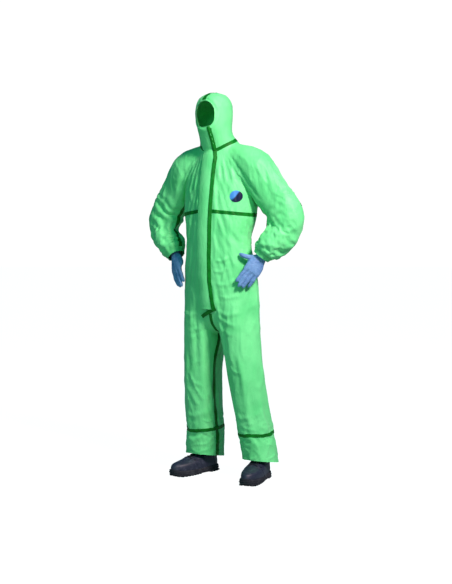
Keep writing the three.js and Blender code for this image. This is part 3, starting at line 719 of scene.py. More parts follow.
# Each row: width and height in tenths of a millimetre, then the line's X and Z by turns in millimetres.
FOLD_ROWS = (
    (85, 50, -46, 1535, -70, 1440, -78, 1330),
    (85, 55, -60, 1530, -100, 1430, -118, 1320),
    (95, 55, -72, 1525, -128, 1430, -150, 1310),
    (95, 50, -82, 1520, -150, 1455, -180, 1370),
    (80, 40, -42, 1440, -48, 1330, -46, 1200),
    (100, 45, -56, 1262, -66, 1150, -62, 1020),
    (110, 50, -95, 1262, -110, 1160, -100, 1050),
    (110, 45, -130, 1250, -140, 1150, -130, 1060),
    (100, 45, -48, 980, -56, 900, -70, 830),
    (80, 36, 46, 1535, 58, 1450, 64, 1370),
    (80, 40, 58, 1530, 82, 1450, 94, 1380),
    (85, 42, 70, 1528, 108, 1460, 132, 1390),
    (90, 42, 82, 1522, 134, 1465, 170, 1390),
    (85, 36, 36, 1400, 52, 1310, 50, 1200),
    (110, 42, 60, 1255, 85, 1180, 130, 1090),
    (110, 40, 100, 1255, 130, 1180, 160, 1120),
    (110, 42, 40, 1180, 60, 1100, 110, 1010),
    (75, 50, 120, 1060, 85, 1035, 50, 1040),
    (85, 45, 115, 1010, 80, 985, 40, 990),
    (95, 40, 150, 960, 100, 925, 45, 930),
    (100, 35, 165, 880, 110, 866, 60, 872),
    (110, 45, 170, 800, 100, 786, 40, 810),
    (110, 40, -170, 800, -110, 780, -50, 796),
    (100, 45, 40, 800, 75, 760, 150, 735),
    (110, 40, 34, 770, 70, 715, 140, 690),
    (110, 40, -30, 770, -65, 720, -130, 700),
    (150, 85, 140, 650, 163, 480, 172, 300, 182, 120),
    (150, 85, -140, 650, -163, 480, -172, 300, -182, 120),
    (100, 40, -150, 520, -120, 460, -85, 440),
    (110, 45, -160, 440, -130, 380, -110, 340),
    (100, 35, 90, 560, 130, 520, 165, 520),
    (110, 45, 105, 330, 140, 300, 180, 315),
    (110, 45, -105, 320, -140, 292, -180, 305),
    (120, 40, 110, 200, 150, 170, 200, 185),
    (120, 40, -110, 190, -150, 165, -200, 180),
)
FRONT_FOLDS = [
    Fold(tuple((x / 1000, z / 1000) for x, z in zip(line[::2], line[1::2])), width / 10000, tall / 10000)
    for width, tall, *line in FOLD_ROWS
]


class Drape:
    """Opens the cut shape, lets the roomy fabric settle on the inner form, and adds worn folds."""

    def __init__(self, pattern: Pattern) -> None:
        """Keeps the pattern that it drapes."""
        self.pattern = pattern

    def film(self) -> "Film":
        """Builds the worn fabric.

        Returns:
            The whole suit as one film.
        """
        cut = self._opened(self.pattern.solid(REMESH, inner=False))
        worn = cut.copy()
        worn.data = cut.data.copy()
        bpy.context.scene.collection.objects.link(worn)
        inner = self.pattern.solid(0.014, inner=True)
        self._settle(worn, inner)
        bpy.data.objects.remove(inner)
        refined(cut)
        refined(worn)
        flat, places = places_of(cut.data), places_of(worn.data)
        places = self._folded(flat, places, normals_of(worn.data))
        worn.data.vertices.foreach_set("co", places.ravel())
        worn.data.update()
        film = Film.of(cut.data, places, normals_of(worn.data))
        bpy.data.objects.remove(cut)
        bpy.data.objects.remove(worn)
        return film

    def _opened(self, skin: Piece) -> Piece:
        """Smooths the joined skin and opens the hems, the cuffs and the face."""
        bm = bmesh.new()
        bm.from_mesh(skin.data)
        soften(bm, bm.verts[:], 6)
        bmesh.ops.bisect_plane(
            bm, geom=all_of(bm), plane_co=(0, 0.02, HEM + 0.0105), plane_no=(0, -HEM_SLOPE, -1), clear_outer=True,
            dist=1e-5
        )
        for side in Side:
            way, wrist = side.turned(FOREARM), side.turned(WRIST)

            def near(face: bmesh.types.BMFace) -> bool:
                """Whether a face is in the last stretch of the sleeve."""
                offset = face.calc_center_median() - wrist
                along = offset.dot(way)
                return -0.02 < along < 0.05 and (offset - way * along).length < 0.050

            faces = [f for f in bm.faces if near(f)]
            geom = list({v for f in faces for v in f.verts}) + list({e for f in faces for e in f.edges}) + faces
            bmesh.ops.bisect_plane(
                bm, geom=geom, plane_co=wrist + way * 0.010, plane_no=way, clear_outer=True, dist=1e-5
            )
        self._open_face(bm)
        bm.to_mesh(skin.data)
        bm.free()
        return skin

    def _open_face(self, bm: Shape) -> None:
        """Cuts the face opening and rounds its rim to an ellipse."""

        def reach(point: Vector) -> float:
            """How far a point is from the opening's centre, 1 on its rim."""
            return float(rim_share(point.x, point.z))

        def frontal(point: Vector) -> bool:
            """Whether a point is on the front of the hood."""
            return point.y < -0.06 and point.z > 1.6

        inside = [f for f in bm.faces if frontal(f.calc_center_median()) and reach(f.calc_center_median()) < 1.0]
        bmesh.ops.delete(bm, geom=inside, context="FACES")
        bmesh.ops.delete(bm, geom=[v for v in bm.verts if not v.link_faces], context="VERTS")
        for vert in bm.verts:
            if vert.is_boundary and frontal(vert.co):
                share = reach(vert.co)
                vert.co.x = FACE_CENTRE.x + (vert.co.x - FACE_CENTRE.x) / share
                vert.co.z = FACE_CENTRE.z + (vert.co.z - FACE_CENTRE.z) / share
        soften(bm, [v for v in bm.verts if not v.is_boundary and frontal(v.co) and abs(reach(v.co) - 1) < 0.4], 4)

    def _settle(self, skin: Piece, inner: Piece) -> None:
        """Lets roomy fabric settle over the inner form by a cloth simulation."""
        held = skin.vertex_groups.new(name="held")
        roomy = skin.vertex_groups.new(name="roomy")
        for vert in skin.data.vertices:
            held.add([vert.index], self._hold(vert.co), "REPLACE")
            roomy.add([vert.index], 0.25 if vert.co.z > 1.56 else 1.0, "REPLACE")
        inner.modifiers.new("form", "COLLISION")
        inner.collision.thickness_outer = 0.003
        inner.collision.cloth_friction = 12
        modifier = skin.modifiers.new("settle", "CLOTH")
        cloth = modifier.settings
        cloth.quality, cloth.mass, cloth.air_damping = 5, 0.15, 3
        cloth.tension_stiffness = cloth.compression_stiffness = 30
        cloth.shear_stiffness, cloth.bending_stiffness = 20, 0.5
        cloth.tension_damping = cloth.compression_damping = cloth.shear_damping = 10
        cloth.bending_damping = 1.0
        cloth.vertex_group_mass, cloth.pin_stiffness = "held", 5
        cloth.vertex_group_shrink, cloth.shrink_min, cloth.shrink_max = "roomy", 0.0, -0.10
        cloth.effector_weights.gravity = 0.8
        modifier.collision_settings.distance_min = 0.003
        modifier.collision_settings.use_self_collision = False
        modifier.point_cache.frame_start, modifier.point_cache.frame_end = 1, DRAPE_FRAMES
        scene = bpy.context.scene
        for step in range(DRAPE_FRAMES):
            scene.frame_set(step + 1)
        graph = bpy.context.evaluated_depsgraph_get()
        settled = bpy.data.meshes.new_from_object(skin.evaluated_get(graph))
        skin.modifiers.clear()
        scene.frame_set(1)
        skin.data = settled
        skin.vertex_groups.clear()

    @staticmethod
    def _hold(point: Vector) -> float:
        """How firmly a point of the fabric is held where it is, from 0 to 1."""
        x, y, z = point
        if y < 0 and -0.045 < x < 0.045 and 0.80 < z < 1.56:
            return 1.0
        face = ((x - FACE_CENTRE.x) / FACE_HALF[0]) ** 2 + ((z - FACE_CENTRE.z) / FACE_HALF[1]) ** 2
        if z > 1.6 and y < -0.05 and face < 1.35:
            return 1.0
        offset = Vector((abs(x), y, z)) - WRIST
        if abs(x) > 0.15 and offset.length < 0.08 and offset.dot(FOREARM) > -0.014:
            return 1.0
        if z < 0.20:
            return 0.8 * min(1.0, (0.20 - z) / 0.07)
        return 0.6 if z > 1.78 else 0.0

    def _folded(self, flat: Points, places: Points, normals: Points) -> Points:
        """Adds the folds that the pull of the seams and the bent arms press into the fabric."""
        height = np.zeros(len(flat))
        front = smoothstep(-flat[:, 1], -0.03, 0.02)
        arm = arm_measure(flat) > 0
        for fold in FRONT_FOLDS:
            away, along = distance_to_line(flat[:, [0, 2]], np.array(fold.line))
            ends = smoothstep(along, 0.0, 0.25) * (1 - smoothstep(along, 0.75, 1.0))
            shape = np.exp(-((away / fold.width) ** 2)) - 0.35 * np.exp(-((away / (2.2 * fold.width)) ** 2))
            height += fold.height * shape * ends * front * ~arm
        height += self._sleeve_folds(flat, arm)
        beside = np.abs(flat[:, 0] - ZIP_X)
        arc = self.pattern.front(flat[:, 2])
        snug = (
            1 - smoothstep(beside, 0.020, 0.045)
        ) * (flat[:, 1] < 0) * smoothstep(flat[:, 2], 0.79, 0.83) * (1 - smoothstep(flat[:, 2], 1.505, 1.54))
        places = places.copy()
        places[:, 1] += snug * (arc + 1.8 * beside**2 - places[:, 1])
        leg = smoothstep(-flat[:, 2], -0.72, -0.66) * ~arm
        crease = lambda scale, seed, stretch: 1 - np.minimum(np.abs(ripple(flat * stretch, scale, seed)) * 4.5, 1)
        height += leg * (0.0020 * ripple(
            flat * [1.0, 1.0, 0.45], 24.0, 3.0
        ) + 0.0026 * crease(14.0, 4.0, [1.1, 1.1, 0.45]))
        low = smoothstep(-flat[:, 2], -0.34, -0.24)
        height += leg * low * 0.0026 * crease(20.0, 11.0, [0.8, 0.8, 1.3])
        calm = np.where(flat[:, 1] < 0, smoothstep(np.abs(flat[:, 0] - ZIP_X), 0.020, 0.048), 1.0)
        trunk = (1 - leg) * ~arm * smoothstep(-flat[:, 2], -1.60, -1.48) * calm
        height += trunk * (0.0012 * ripple(
            flat * [1.0, 1.0, 0.5], 30.0, 8.0
        ) + 0.0022 * crease(17.0, 9.0, [1.3, 1.3, 0.40]))
        height += arm * 0.0020 * crease(14.0, 6.0, [1.0, 1.0, 0.8])
        return places + normals * height[:, None]

    def _sleeve_folds(self, flat: Points, arm: np.ndarray) -> np.ndarray:
        """Crumples round the bent elbow and gathers above the cuff."""
        height = np.zeros(len(flat))
        for side in Side:
            local = flat * [side.value, 1, 1]
            on = arm & (flat[:, 0] * side.value > 0)
            more = 0.9 if side is Side.LEFT else 1.35
            fore = (local - np.array(ELBOW)) @ np.array(FOREARM)
            upper = (local - np.array(SHOULDER)) @ np.array(UPPER_ARM)
            inner = (local - np.array(ELBOW)) @ np.array(ARM_INWARD)
            turn = np.arctan2((local - np.array(ELBOW)) @ np.array(ARM_PLANE), inner)
            wander = ripple(local, 13.0, 5.0 + side.value)
            elbow = smoothstep(upper, 0.12, 0.24) * (
                1 - smoothstep(fore, 0.05, 0.13)
            ) * smoothstep(inner, -0.03, 0.05)
            height += on * more * elbow * 0.0034 * np.sin(upper * 140 + 3.0 * wander)
            slack = smoothstep(fore, 0.02, 0.10) * (1 - smoothstep(fore, 0.19, 0.235))
            height += on * more * slack * 0.0022 * np.sin(fore * 90 + 2.4 * turn + 3.0 * wander)
            arm_line = smoothstep(upper, 0.0, 0.06) * (1 - smoothstep(upper, 0.20, 0.26))
            height += on * more * arm_line * 0.0018 * np.sin(turn * 4.0 + 3.0 * wander)
            cuff = np.exp(-(((fore - 0.212) / 0.024) ** 2))
            wrist_turn = np.arctan2(
                (
                    local - np.array(WRIST)
                ) @ np.array(ARM_PLANE), (local - np.array(WRIST)) @ np.array(FOREARM.cross(ARM_PLANE))
            )
            height += on * cuff * (0.0034 + 0.0020 * np.sin(wrist_turn * 11 + 3.0 * wander))
        return height


def distance_to_line(points: np.ndarray, line: np.ndarray) -> tuple[np.ndarray, np.ndarray]:
    """How far flat points are from a line of straight stretches.

    Args:
        points: the points, two numbers each.
        line: the line's corners.

    Returns:
        Each point's distance, and how far along the line its nearest place is, from 0 to 1.
    """
    lengths = np.linalg.norm(np.diff(line, axis=0), axis=1)
    total, passed = lengths.sum(), 0.0
    best = np.full(len(points), ENDLESS)
    along = np.zeros(len(points))
    for start, end, length in zip(line, line[1:], lengths):
        way = (end - start) / length
        t = np.clip((points - start) @ way, 0, length)
        away = np.linalg.norm(points - (start + t[:, None] * way), axis=1)
        nearer = away < best
        best = np.where(nearer, away, best)
        along = np.where(nearer, (passed + t) / total, along)
        passed += length
    return best, along


# ---- measures on the cut shape, which say where a piece starts and ends ----


def plane(point: Sequence[float], normal: Sequence[float]) -> Measure:
    """The distance past a plane, along its normal."""
    origin, way = np.array(point, float), np.array(normal, float)
    way /= np.linalg.norm(way)
    return lambda p: (p - origin) @ way


def arm_measure(points: Points) -> np.ndarray:
    """Positive on both sleeves, past the armholes, and negative elsewhere."""
    folded = np.abs(points[:, 0])
    root = (folded - ARMHOLE.x) * ARMHOLE_NORMAL.x + (points[:, 2] - ARMHOLE.z) * ARMHOLE_NORMAL.z
    measure = np.where(points[:, 2] > 1.20, root, folded - 0.198)
    return np.where(points[:, 2] > 0.98, measure, -0.1)


def x_from(path: Sequence[tuple[float, float]]) -> Measure:
    """The distance in X from a line given as (z, x) pairs, on the front only."""
    heights, offsets = np.array(sorted(path)).T
    return lambda p: np.where(p[:, 1] < 0.02, p[:, 0] - np.interp(p[:, 2], heights, offsets), ENDLESS)


def in_x(points: Points) -> np.ndarray:
    """The place across, towards the wearer's left."""
    return points[:, 0]


def in_y(points: Points) -> np.ndarray:
    """The place in depth, towards the back."""
    return points[:, 1]


def height(points: Points) -> np.ndarray:
    """The height above the floor."""
    return points[:, 2]


def sideways(side: Side) -> Measure:
    """The distance past the front closure towards a side."""
    return lambda p: (p[:, 0] - ZIP_X) * side.value


def neck(points: Points) -> np.ndarray:
    """The distance above the neck seam, which climbs at the sides."""
    climb = NECK_CLIMB * smoothstep(np.abs(points[:, 0]), 0.015, 0.098)
    return plane(NECK_CENTRE, NECK_NORMAL)(points) - climb


@dataclass(frozen=True)
class Band:
    """The part of the film where a measure lies from low to high."""

    measure: Measure
    low: float = -ENDLESS
    high: float = ENDLESS


NECK_BAND = Band(neck, high=0.0)
FRONT_BAND = Band(in_y, high=0.0)
FLAP_PATH = (
    (0.800, 0.038), (0.870, 0.029), (0.940, 0.023), (1.130, 0.028), (1.260, 0.029), (1.345, 0.031), (1.430, 0.032),
    (1.510, 0.033), (1.550, 0.023), (1.667, 0.019), (1.700, 0.019)
)


def tented(points: Points) -> np.ndarray:
    """How far the flap stands off: close at its sewn edge, roomy over the zip, near flat at its free edge."""
    sewn = np.interp(points[:, 2], *np.array(sorted(FLAP_PATH)).T)
    share = np.clip((points[:, 0] - FLAP_FREE_X) / (sewn - FLAP_FREE_X), 0, 1)
    low = 1 - 0.05 * (1 - smoothstep(points[:, 2], 0.82, 0.90))
    return FLAP_CLOSE + (FLAP_TENT - FLAP_CLOSE) * low * np.sin(np.pi * share) ** 0.55 + 0.0007 * np.sin(points[:, 2] * 61) * (1 - share)


def chin_lift(points: Points) -> np.ndarray:
    """How far the flap stands off over the chin."""
    return 0.0075 - 0.0045 * smoothstep(points[:, 2], 1.60, 1.67)


def over_edge(cloth: Measure, low: float) -> Measure:
    """The lift of a tape that lies on a flap on one side of its sewn edge and steps down on the other."""
    edge = x_from(FLAP_PATH)

    def lift(points: Points) -> np.ndarray:
        """The tape's lift at each point."""
        past = edge(points)
        return low + (cloth(points) + 0.0012 - low) * (1 - smoothstep(past, 0.0010, 0.0070))

    return lift


class Film:
    """Fabric kept both as cut and as worn, from which panels and tapes are taken."""

    def __init__(self, bm: Shape) -> None:
        """Takes over a mesh whose layers hold the cut places, the worn places and the normals."""
        self.bm = bm
        layers = bm.verts.layers.float_vector
        self.cut, self.worn, self.normal = layers["cut"], layers["worn"], layers["outward"]

    @classmethod
    def of(cls, mesh: bpy.types.Mesh, worn: Points, normals: Points) -> "Film":
        """A film from its cut mesh, its worn places and its normals."""
        bm = bmesh.new()
        bm.from_mesh(mesh)
        for name in ("cut", "worn", "outward"):
            bm.verts.layers.float_vector.new(name)
        layers = bm.verts.layers.float_vector
        cut, place, normal = layers["cut"], layers["worn"], layers["outward"]
        for vert, at, way in zip(bm.verts, worn, normals):
            vert[cut], vert[place], vert[normal] = vert.co, Vector(at), Vector(way)
        return cls(bm)

    def finer(self, cuts: int) -> "Film":
        """Splits every edge of the film into cuts + 1."""
        bmesh.ops.subdivide_edges(self.bm, edges=self.bm.edges[:], cuts=cuts, use_grid_fill=True)
        return self

    def places(self) -> Points:
        """The cut places of the film's vertices."""
        return np.array([vert[self.cut][:] for vert in self.bm.verts]).reshape(-1, 3)

    def part(self, *bands: Band) -> "Film":
        """The part of the film inside every band, cut clean along their ends."""
        found = Film(self.bm.copy())
        bm, cut = found.bm, found.cut
        for band in bands:
            if not bm.verts:
                break
            value = band.measure(found.places())
            bm.verts.ensure_lookup_table()
            bm.verts.index_update()
            low, high = value < band.low, value > band.high
            gone = [
                f for f in bm.faces if all(low[v.index] for v in f.verts) or all(high[v.index] for v in f.verts)
            ]
            for vert, amount in zip(bm.verts, value):
                x, y, z = vert[cut]
                vert.co = (amount, x * 0.6 + y, z + y * 0.3)
            bmesh.ops.delete(bm, geom=gone, context="FACES")
            bmesh.ops.delete(bm, geom=[v for v in bm.verts if not v.link_faces], context="VERTS")
            for bound, inner in ((band.low, True), (band.high, False)):
                if abs(bound) < ENDLESS:
                    bmesh.ops.bisect_plane(
                        bm, geom=all_of(bm), plane_co=(bound, 0, 0), plane_no=(1, 0, 0), clear_inner=inner,
                        clear_outer=not inner, dist=1e-7
                    )
        return found

    def joined(self, other: "Film") -> "Film":
        """This film and another in one mesh, side by side."""
        spare = bpy.data.meshes.new("spare")
        other.bm.to_mesh(spare)
        self.bm.from_mesh(spare)
        bpy.data.meshes.remove(spare)
        return self

    def piece(self, name: str, lift: Lift = 0.0, wall: float = FILM_WALL, even: bool = True) -> Piece:
        """Makes a closed thin piece of the film.

        Args:
            name: the piece's name.
            lift: metres between the fabric's surface and the piece's outer face, or a rule for it.
            wall: its thickness, inwards.
            even: whether it is shaded as part of the whole suit.

        Returns:
            The object.
        """
        lifts = lift(self.places()) if callable(lift) else np.full(len(self.bm.verts), lift)
        bm = self.bm.copy()
        layers = bm.verts.layers.float_vector
        worn, normal = layers["worn"], layers["outward"]
        for vert, amount in zip(bm.verts, lifts):
            vert.co = vert[worn] + vert[normal].normalized() * float(amount)
        for name_of_layer in ("cut", "worn"):
            layers.remove(bm.verts.layers.float_vector[name_of_layer])
        piece = object_from(bm, name, recalc=False)
        modifier = piece.modifiers.new("wall", "SOLIDIFY")
        modifier.thickness, modifier.offset, modifier.use_quality_normals = wall, -1.0, False
        baked(piece)
        mesh = piece.data
        outward = mesh.attributes["outward"]
        ways = np.empty(len(mesh.vertices) * 3, dtype=np.float32)
        outward.data.foreach_get("vector", ways)
        ways = ways.reshape(-1, 3)
        ways[len(ways) // 2 :] *= -1
        ways /= np.maximum(np.linalg.norm(ways, axis=1, keepdims=True), 1e-9)
        mesh.attributes.remove(mesh.attributes["outward"])
        if even:
            mesh.normals_split_custom_set_from_vertices(ways.tolist())
        return piece


# ---- pieces ----


class Workroom:
    """Finishes each piece: its material, its body, the nodes it stands for, and a report."""

    def __init__(self, wardrobe: Wardrobe) -> None:
        """Keeps the finishes."""
        self.wardrobe = wardrobe
        self.count = 0

    def fit(self, piece: Piece, finish: Finish, body: str, nodes: Sequence[str] = ()) -> Piece:
        """Dresses a piece and lets it ride on one body.

        Args:
            piece: the piece.
            finish: its finish.
            body: the body that it rides on.
            nodes: the frame's nodes that it stands for.

        Returns:
            The piece.
        """
        self.wardrobe.dress(piece, finish)
        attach(piece, body)
        return self._shown(piece, nodes)

    def bend(
        self, piece: Piece, finish: Finish, bodies: tuple[str, str], start: Sequence[float], end: Sequence[float],
        nodes: Sequence[str] = ()
    ) -> Piece:
        """Dresses a piece, bakes its transform into its mesh and reports it."""
        self.wardrobe.dress(piece, finish)
        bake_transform(piece)
        return self._shown(piece, nodes)

    def sheet(
        self, piece: Piece, film: "Film", length: float, held: str = "hung", rests_on: Sequence[str] = ()
    ) -> None:
        """Takes a cloth piece with the size it was cut to, and does nothing with it.

        Args:
            piece: the piece; not used.
            film: the fabric it was made of; not used.
            length: the length of its cut; not used.
            held: how it is held; not used.
            rests_on: what it hangs from or lies on; not used.
        """

    def _shown(self, piece: Piece, nodes: Sequence[str]) -> Piece:
        """Hides the nodes that a piece stands for, and reports it."""
        if nodes:
            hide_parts(*nodes)
        self.count += 1
        log.info("%s: %d faces", piece.name, len(piece.data.polygons))
        return piece


@dataclass
class Trunk:
    """The upper and lower body with their seams, badge and waist gathers."""

    film: Film
    collar: Film
    room: Workroom
    badge_radius: float = 0.0270

    def build(self) -> None:
        """Makes every piece that rides on the trunk."""
        for side in Side:
            self._panels(side)
        self._neck_tape()
        self._front_tapes()
        self._badge()
        self._waist()

    def _panels(self, side: Side) -> None:
        """The panels and the chest tape of one side."""
        half = Band(sideways(side), 0.0)
        upper = self.film.part(half, Band(height, CHEST_SEAM))
        lower = self.film.part(half, Band(height, high=CHEST_SEAM))
        replaced = [
            f"upper_body_{side.word}", f"shoulder_cloth_{side.word}"
        ] + (["neck_cloth"] if side is Side.LEFT else [])
        piece = self.room.fit(upper.piece(f"chest_panel_{side.word}"), Finish.CLOTH, "trunk", replaced)
        self.room.sheet(piece, upper, 0.34)
        piece = self.room.fit(
            lower.piece(f"body_panel_{side.word}"), Finish.CLOTH, "trunk",
            [f"lower_body_{side.word}", f"hip_cloth_{side.word}"]
        )
        self.room.sheet(piece, lower, 0.60)
        starts = 0.012 if side is Side.LEFT else -0.036
        beside = lambda p: np.where(p[:, 1] < 0, p[:, 0] - starts, p[:, 0] - ZIP_X) * side.value
        tape = self.film.part(
            Band(beside, 0.0),
            Band(lambda p: p[:, 2] + 0.08 * np.abs(p[:, 0]), CHEST_SEAM - TAPE_HALF, CHEST_SEAM + TAPE_HALF)
        )
        self.room.fit(
            tape.piece(f"chest_tape_{side.word}", 0.0010, TAPE_WALL), Finish.TAPE, "trunk",
            [f"chest_seam_tape_{side.word}"]
        )

    def _neck_tape(self) -> None:
        """The tape round the neck, open where the flap is."""
        whole = Band(neck, -TAPE_HALF, TAPE_HALF)
        around = self.collar.part(whole, Band(lambda p: np.where(p[:, 1] < 0, p[:, 0] - 0.018, 1.0), 0.0))
        around.joined(self.collar.part(whole, Band(lambda p: np.where(p[:, 1] < 0, -0.040 - p[:, 0], -1.0), 0.0)))
        self.room.fit(around.piece("neck_tape", TAPE_LIFT, TAPE_WALL), Finish.TAPE, "trunk", ["neck_seam_tape"])

    def _front_tapes(self) -> None:
        """The tape of the flap's sewn edge, its end bar, and the tape that runs down to the crotch."""
        front = Band(x_from(FLAP_PATH), -TAPE_HALF, TAPE_HALF)
        edge = self.film.part(front, Band(height, 0.806), Band(neck, high=0.004))
        self.room.fit(
            edge.piece("flap_tape", over_edge(tented, 0.0012), TAPE_WALL, even=False), Finish.TAPE, "trunk",
            ["flap_seam_tape"]
        )
        bar = self.film.part(
            FRONT_BAND, Band(plane((0.003, 0, 0.7975), (-0.454, 0, 0.891)), -TAPE_HALF, TAPE_HALF),
            Band(plane((0.003, 0, 0.7975), (0.891, 0, 0.454)), -0.047, 0.047)
        )
        self.room.fit(bar.piece("flap_end_bar", 0.0052, TAPE_WALL), Finish.TAPE, "trunk", ["flap_end_tape"])
        down = self.film.part(
            Band(height, HIP_CUT, 0.790), Band(in_y, high=0.020),
            Band(lambda p: p[:, 0] - 0.002 - 0.11 * (p[:, 2] - 0.70), -0.0075, 0.0075)
        )
        across = self.film.part(Band(height, HIP_CUT, 0.740), Band(in_y, 0.004, 0.020), Band(in_x, -0.050, 0.050))
        self.room.fit(down.joined(across).piece("crotch_tape", TAPE_LIFT, TAPE_WALL), Finish.TAPE, "trunk")

    def _badge(self) -> None:
        """The plain printed disc on the left chest."""
        x, z = BADGE_AT
        near = self.film.part(FRONT_BAND, Band(in_x, x - 0.04, x + 0.04), Band(height, z - 0.04, z + 0.04)).finer(2)
        disc = near.part(Band(lambda p: np.hypot((p[:, 0] - x) / 0.88, p[:, 2] - z), high=self.badge_radius))
        self.room.fit(disc.piece("round_badge", 0.0012, 0.0010), Finish.BADGE, "trunk", ["chest_badge"])

    def _waist(self) -> None:
        """The gathered elastic across the back of the waist."""
        band = self.film.part(Band(height, 1.117, 1.143), Band(in_y, 0.004))
        gather = lambda p: 0.0016 + 0.0010 * np.sin(p[:, 0] * 420)
        self.room.fit(band.piece("waist_gathers", gather, 0.0016), Finish.ELASTIC, "trunk", ["waist_elastic"])


@dataclass
class Closure:
    """The storm flap, the zip under it, its slider and its pull."""

    film: Film
    hood: Film
    room: Workroom
    pattern: Pattern
    tooth_step: float = 0.0028

    def build(self) -> None:
        """Makes the closure from the zip outwards."""
        self._zip()
        self._slider()
        self._flap()
        self._chin()

    def _flap(self) -> None:
        """The storm flap, sewn on its left edge and free on its right one."""
        across = x_from(FLAP_PATH)
        strip = self.film.part(
            Band(across, -0.12, 0.002), Band(in_x, FLAP_FREE_X), Band(height, 0.812), Band(neck, high=0.0)
        )
        piece = strip.piece("storm_flap_cloth", tented, FLAP_WALL, even=False)
        self.room.bend(piece, Finish.CLOTH, ("trunk", "flap"), *FLAP_BLEND, ["storm_flap"])
        self.room.sheet(piece, strip, 0.74, rests_on=["flap_tape"])
        seam = self.film.part(
            Band(in_x, FLAP_FREE_X + 0.0045, FLAP_FREE_X + 0.0058), FRONT_BAND, Band(height, 0.814),
            Band(neck, high=0.0)
        )
        stitched = seam.piece("storm_flap_topstitch", lambda p: tented(p) + 0.0004, 0.0005, even=False)
        self.room.bend(stitched, Finish.ELASTIC, ("trunk", "flap"), *FLAP_BLEND)

    def _chin(self) -> None:
        """The flap's upper end over the chin, with its tape."""
        start, end = NECK_BLEND
        rim = Band(face_reach, 1.075)
        strip = self.hood.part(
            Band(x_from(FLAP_PATH), -0.12, 0.002), Band(in_x, FLAP_FREE_X - 0.003), Band(height, high=1.70), rim
        )
        piece = strip.piece("chin_flap_cloth", chin_lift, FLAP_WALL, even=False)
        self.room.bend(piece, Finish.CLOTH, ("trunk", "hood"), start, end, ["chin_flap"])
        self.room.sheet(piece, strip, 0.13, rests_on=["chin_tape"])
        tape = self.hood.part(
            Band(x_from(FLAP_PATH), -TAPE_HALF, TAPE_HALF), Band(height, high=1.70),
            Band(face_reach, RIM_TAPE_REACH)
        )
        made = tape.piece("chin_tape", over_edge(chin_lift, 0.0012), TAPE_WALL, even=False)
        self.room.bend(made, Finish.TAPE, ("trunk", "hood"), start, end, ["chin_flap_tape"])

    def _zip(self) -> None:
        """The two woven zip tapes and the teeth between them."""
        front = (FRONT_BAND, Band(height, 0.842, 1.524))
        for side in Side:
            strip = self.film.part(Band(sideways(side), 0.0030, 0.0165), *front)
            self.room.fit(
                strip.piece(f"zip_ribbon_{side.word}", 0.0008, 0.0006), Finish.ELASTIC, "trunk",
                [f"zip_tape_{side.word}"]
            )
        core = self.film.part(
            Band(lambda p: p[:, 0] - ZIP_X, -0.0032, 0.0032), *front
        ).piece("zip_cord", 0.0010, 0.0010)
        self.room.fit(core, Finish.ZIP, "trunk")
        bm = bmesh.new()
        low, high = 0.843, 1.490
        for i in range(int((high - low) / self.tooth_step)):
            z = low + i * self.tooth_step
            way = 1 if i % 2 else -1
            y = self.pattern.front(z) - 0.0015
            place = Matrix.Translation((
                ZIP_X + way * 0.0006, y, z
            )) @ Matrix.Diagonal((0.0052, 0.0016, 0.0015, 1.0))
            bmesh.ops.create_cube(bm, size=1.0, matrix=place)
        chamfer(bm, bm.edges[:], 0.0004)
        self.room.fit(object_from(bm, "zip_teeth"), Finish.ZIP, "trunk", ["zip_chain"])

    def _slider(self) -> None:
        """The slider, a two-plate body with a crown, and its pull with a hole."""
        z = 1.497
        y = self.pattern.front(z)
        slope = math.asin((z - self.pattern.zip_centre_z) / self.pattern.zip_radius)
        turn = Matrix.Translation((ZIP_X, y, z)) @ Matrix.Rotation(-slope, 4, "X")
        bm = bmesh.new()
        for depth in (-0.0044, -0.0030):
            made = bmesh.ops.create_cube(
                bm, size=1.0,
                matrix=turn @ Matrix.Translation((0, depth, 0)) @ Matrix.Diagonal((0.0105, 0.0007, 0.0150, 1.0))
            )
            bmesh.ops.scale(
                bm, vec=(0.72, 1, 1), space=turn.inverted(),
                verts=[v for v in made["verts"] if (turn.inverted() @ v.co).z < 0]
            )
        bmesh.ops.create_cube(
            bm, size=1.0,
            matrix=turn @ Matrix.Translation((0, -0.0037, 0.0050)) @ Matrix.Diagonal((0.0030, 0.0018, 0.0046, 1.0))
        )
        bmesh.ops.create_cube(
            bm, size=1.0,
            matrix=turn @ Matrix.Translation((0, -0.0050, 0.0006)) @ Matrix.Diagonal((0.0026, 0.0010, 0.0090, 1.0))
        )
        chamfer(bm, bm.edges[:], 0.0002, 2)
        self.room.fit(object_from(bm, "zip_slider_body"), Finish.ZIP, "slider", ["zip_slider"])
        bm = bmesh.new()
        outer, inner = [], []
        for i in range(20):
            angle = math.tau * i / 20
            outer.append(bm.verts.new((
                math.cos(angle) * 0.0038, 0, math.sin(angle) * 0.0038 - (0.016 if math.sin(angle) < 0 else 0)
            )))
            inner.append(bm.verts.new((math.cos(angle) * 0.0019, 0, math.sin(angle) * 0.0019)))
        loops = []
        for ring in (outer, inner):
            loops += [bm.edges.new((ring[i], ring[(i + 1) % 20])) for i in range(20)]
        bmesh.ops.bridge_loops(bm, edges=loops)
        walls = bmesh.ops.extrude_face_region(bm, geom=bm.faces[:])
        bmesh.ops.translate(
            bm, vec=(0, -0.0010, 0), verts=[g for g in walls["geom"] if isinstance(g, bmesh.types.BMVert)]
        )
        chamfer(bm, [e for e in bm.edges if e.calc_face_angle(0) > 1], 0.00025)
        bmesh.ops.transform(bm, matrix=turn @ Matrix.Translation((0, -0.0057, -0.0010)), verts=bm.verts[:])
        self.room.fit(object_from(bm, "zip_pull_tab"), Finish.ZIP, "pull", ["zip_pull"])


def chamfer(bm: Shape, edges: list, offset: float, segments: int = 1) -> None:
    """Breaks some edges of a mesh."""
    bmesh.ops.bevel(bm, geom=edges, offset=offset, segments=segments, profile=0.5, affect="EDGES", material=-1)


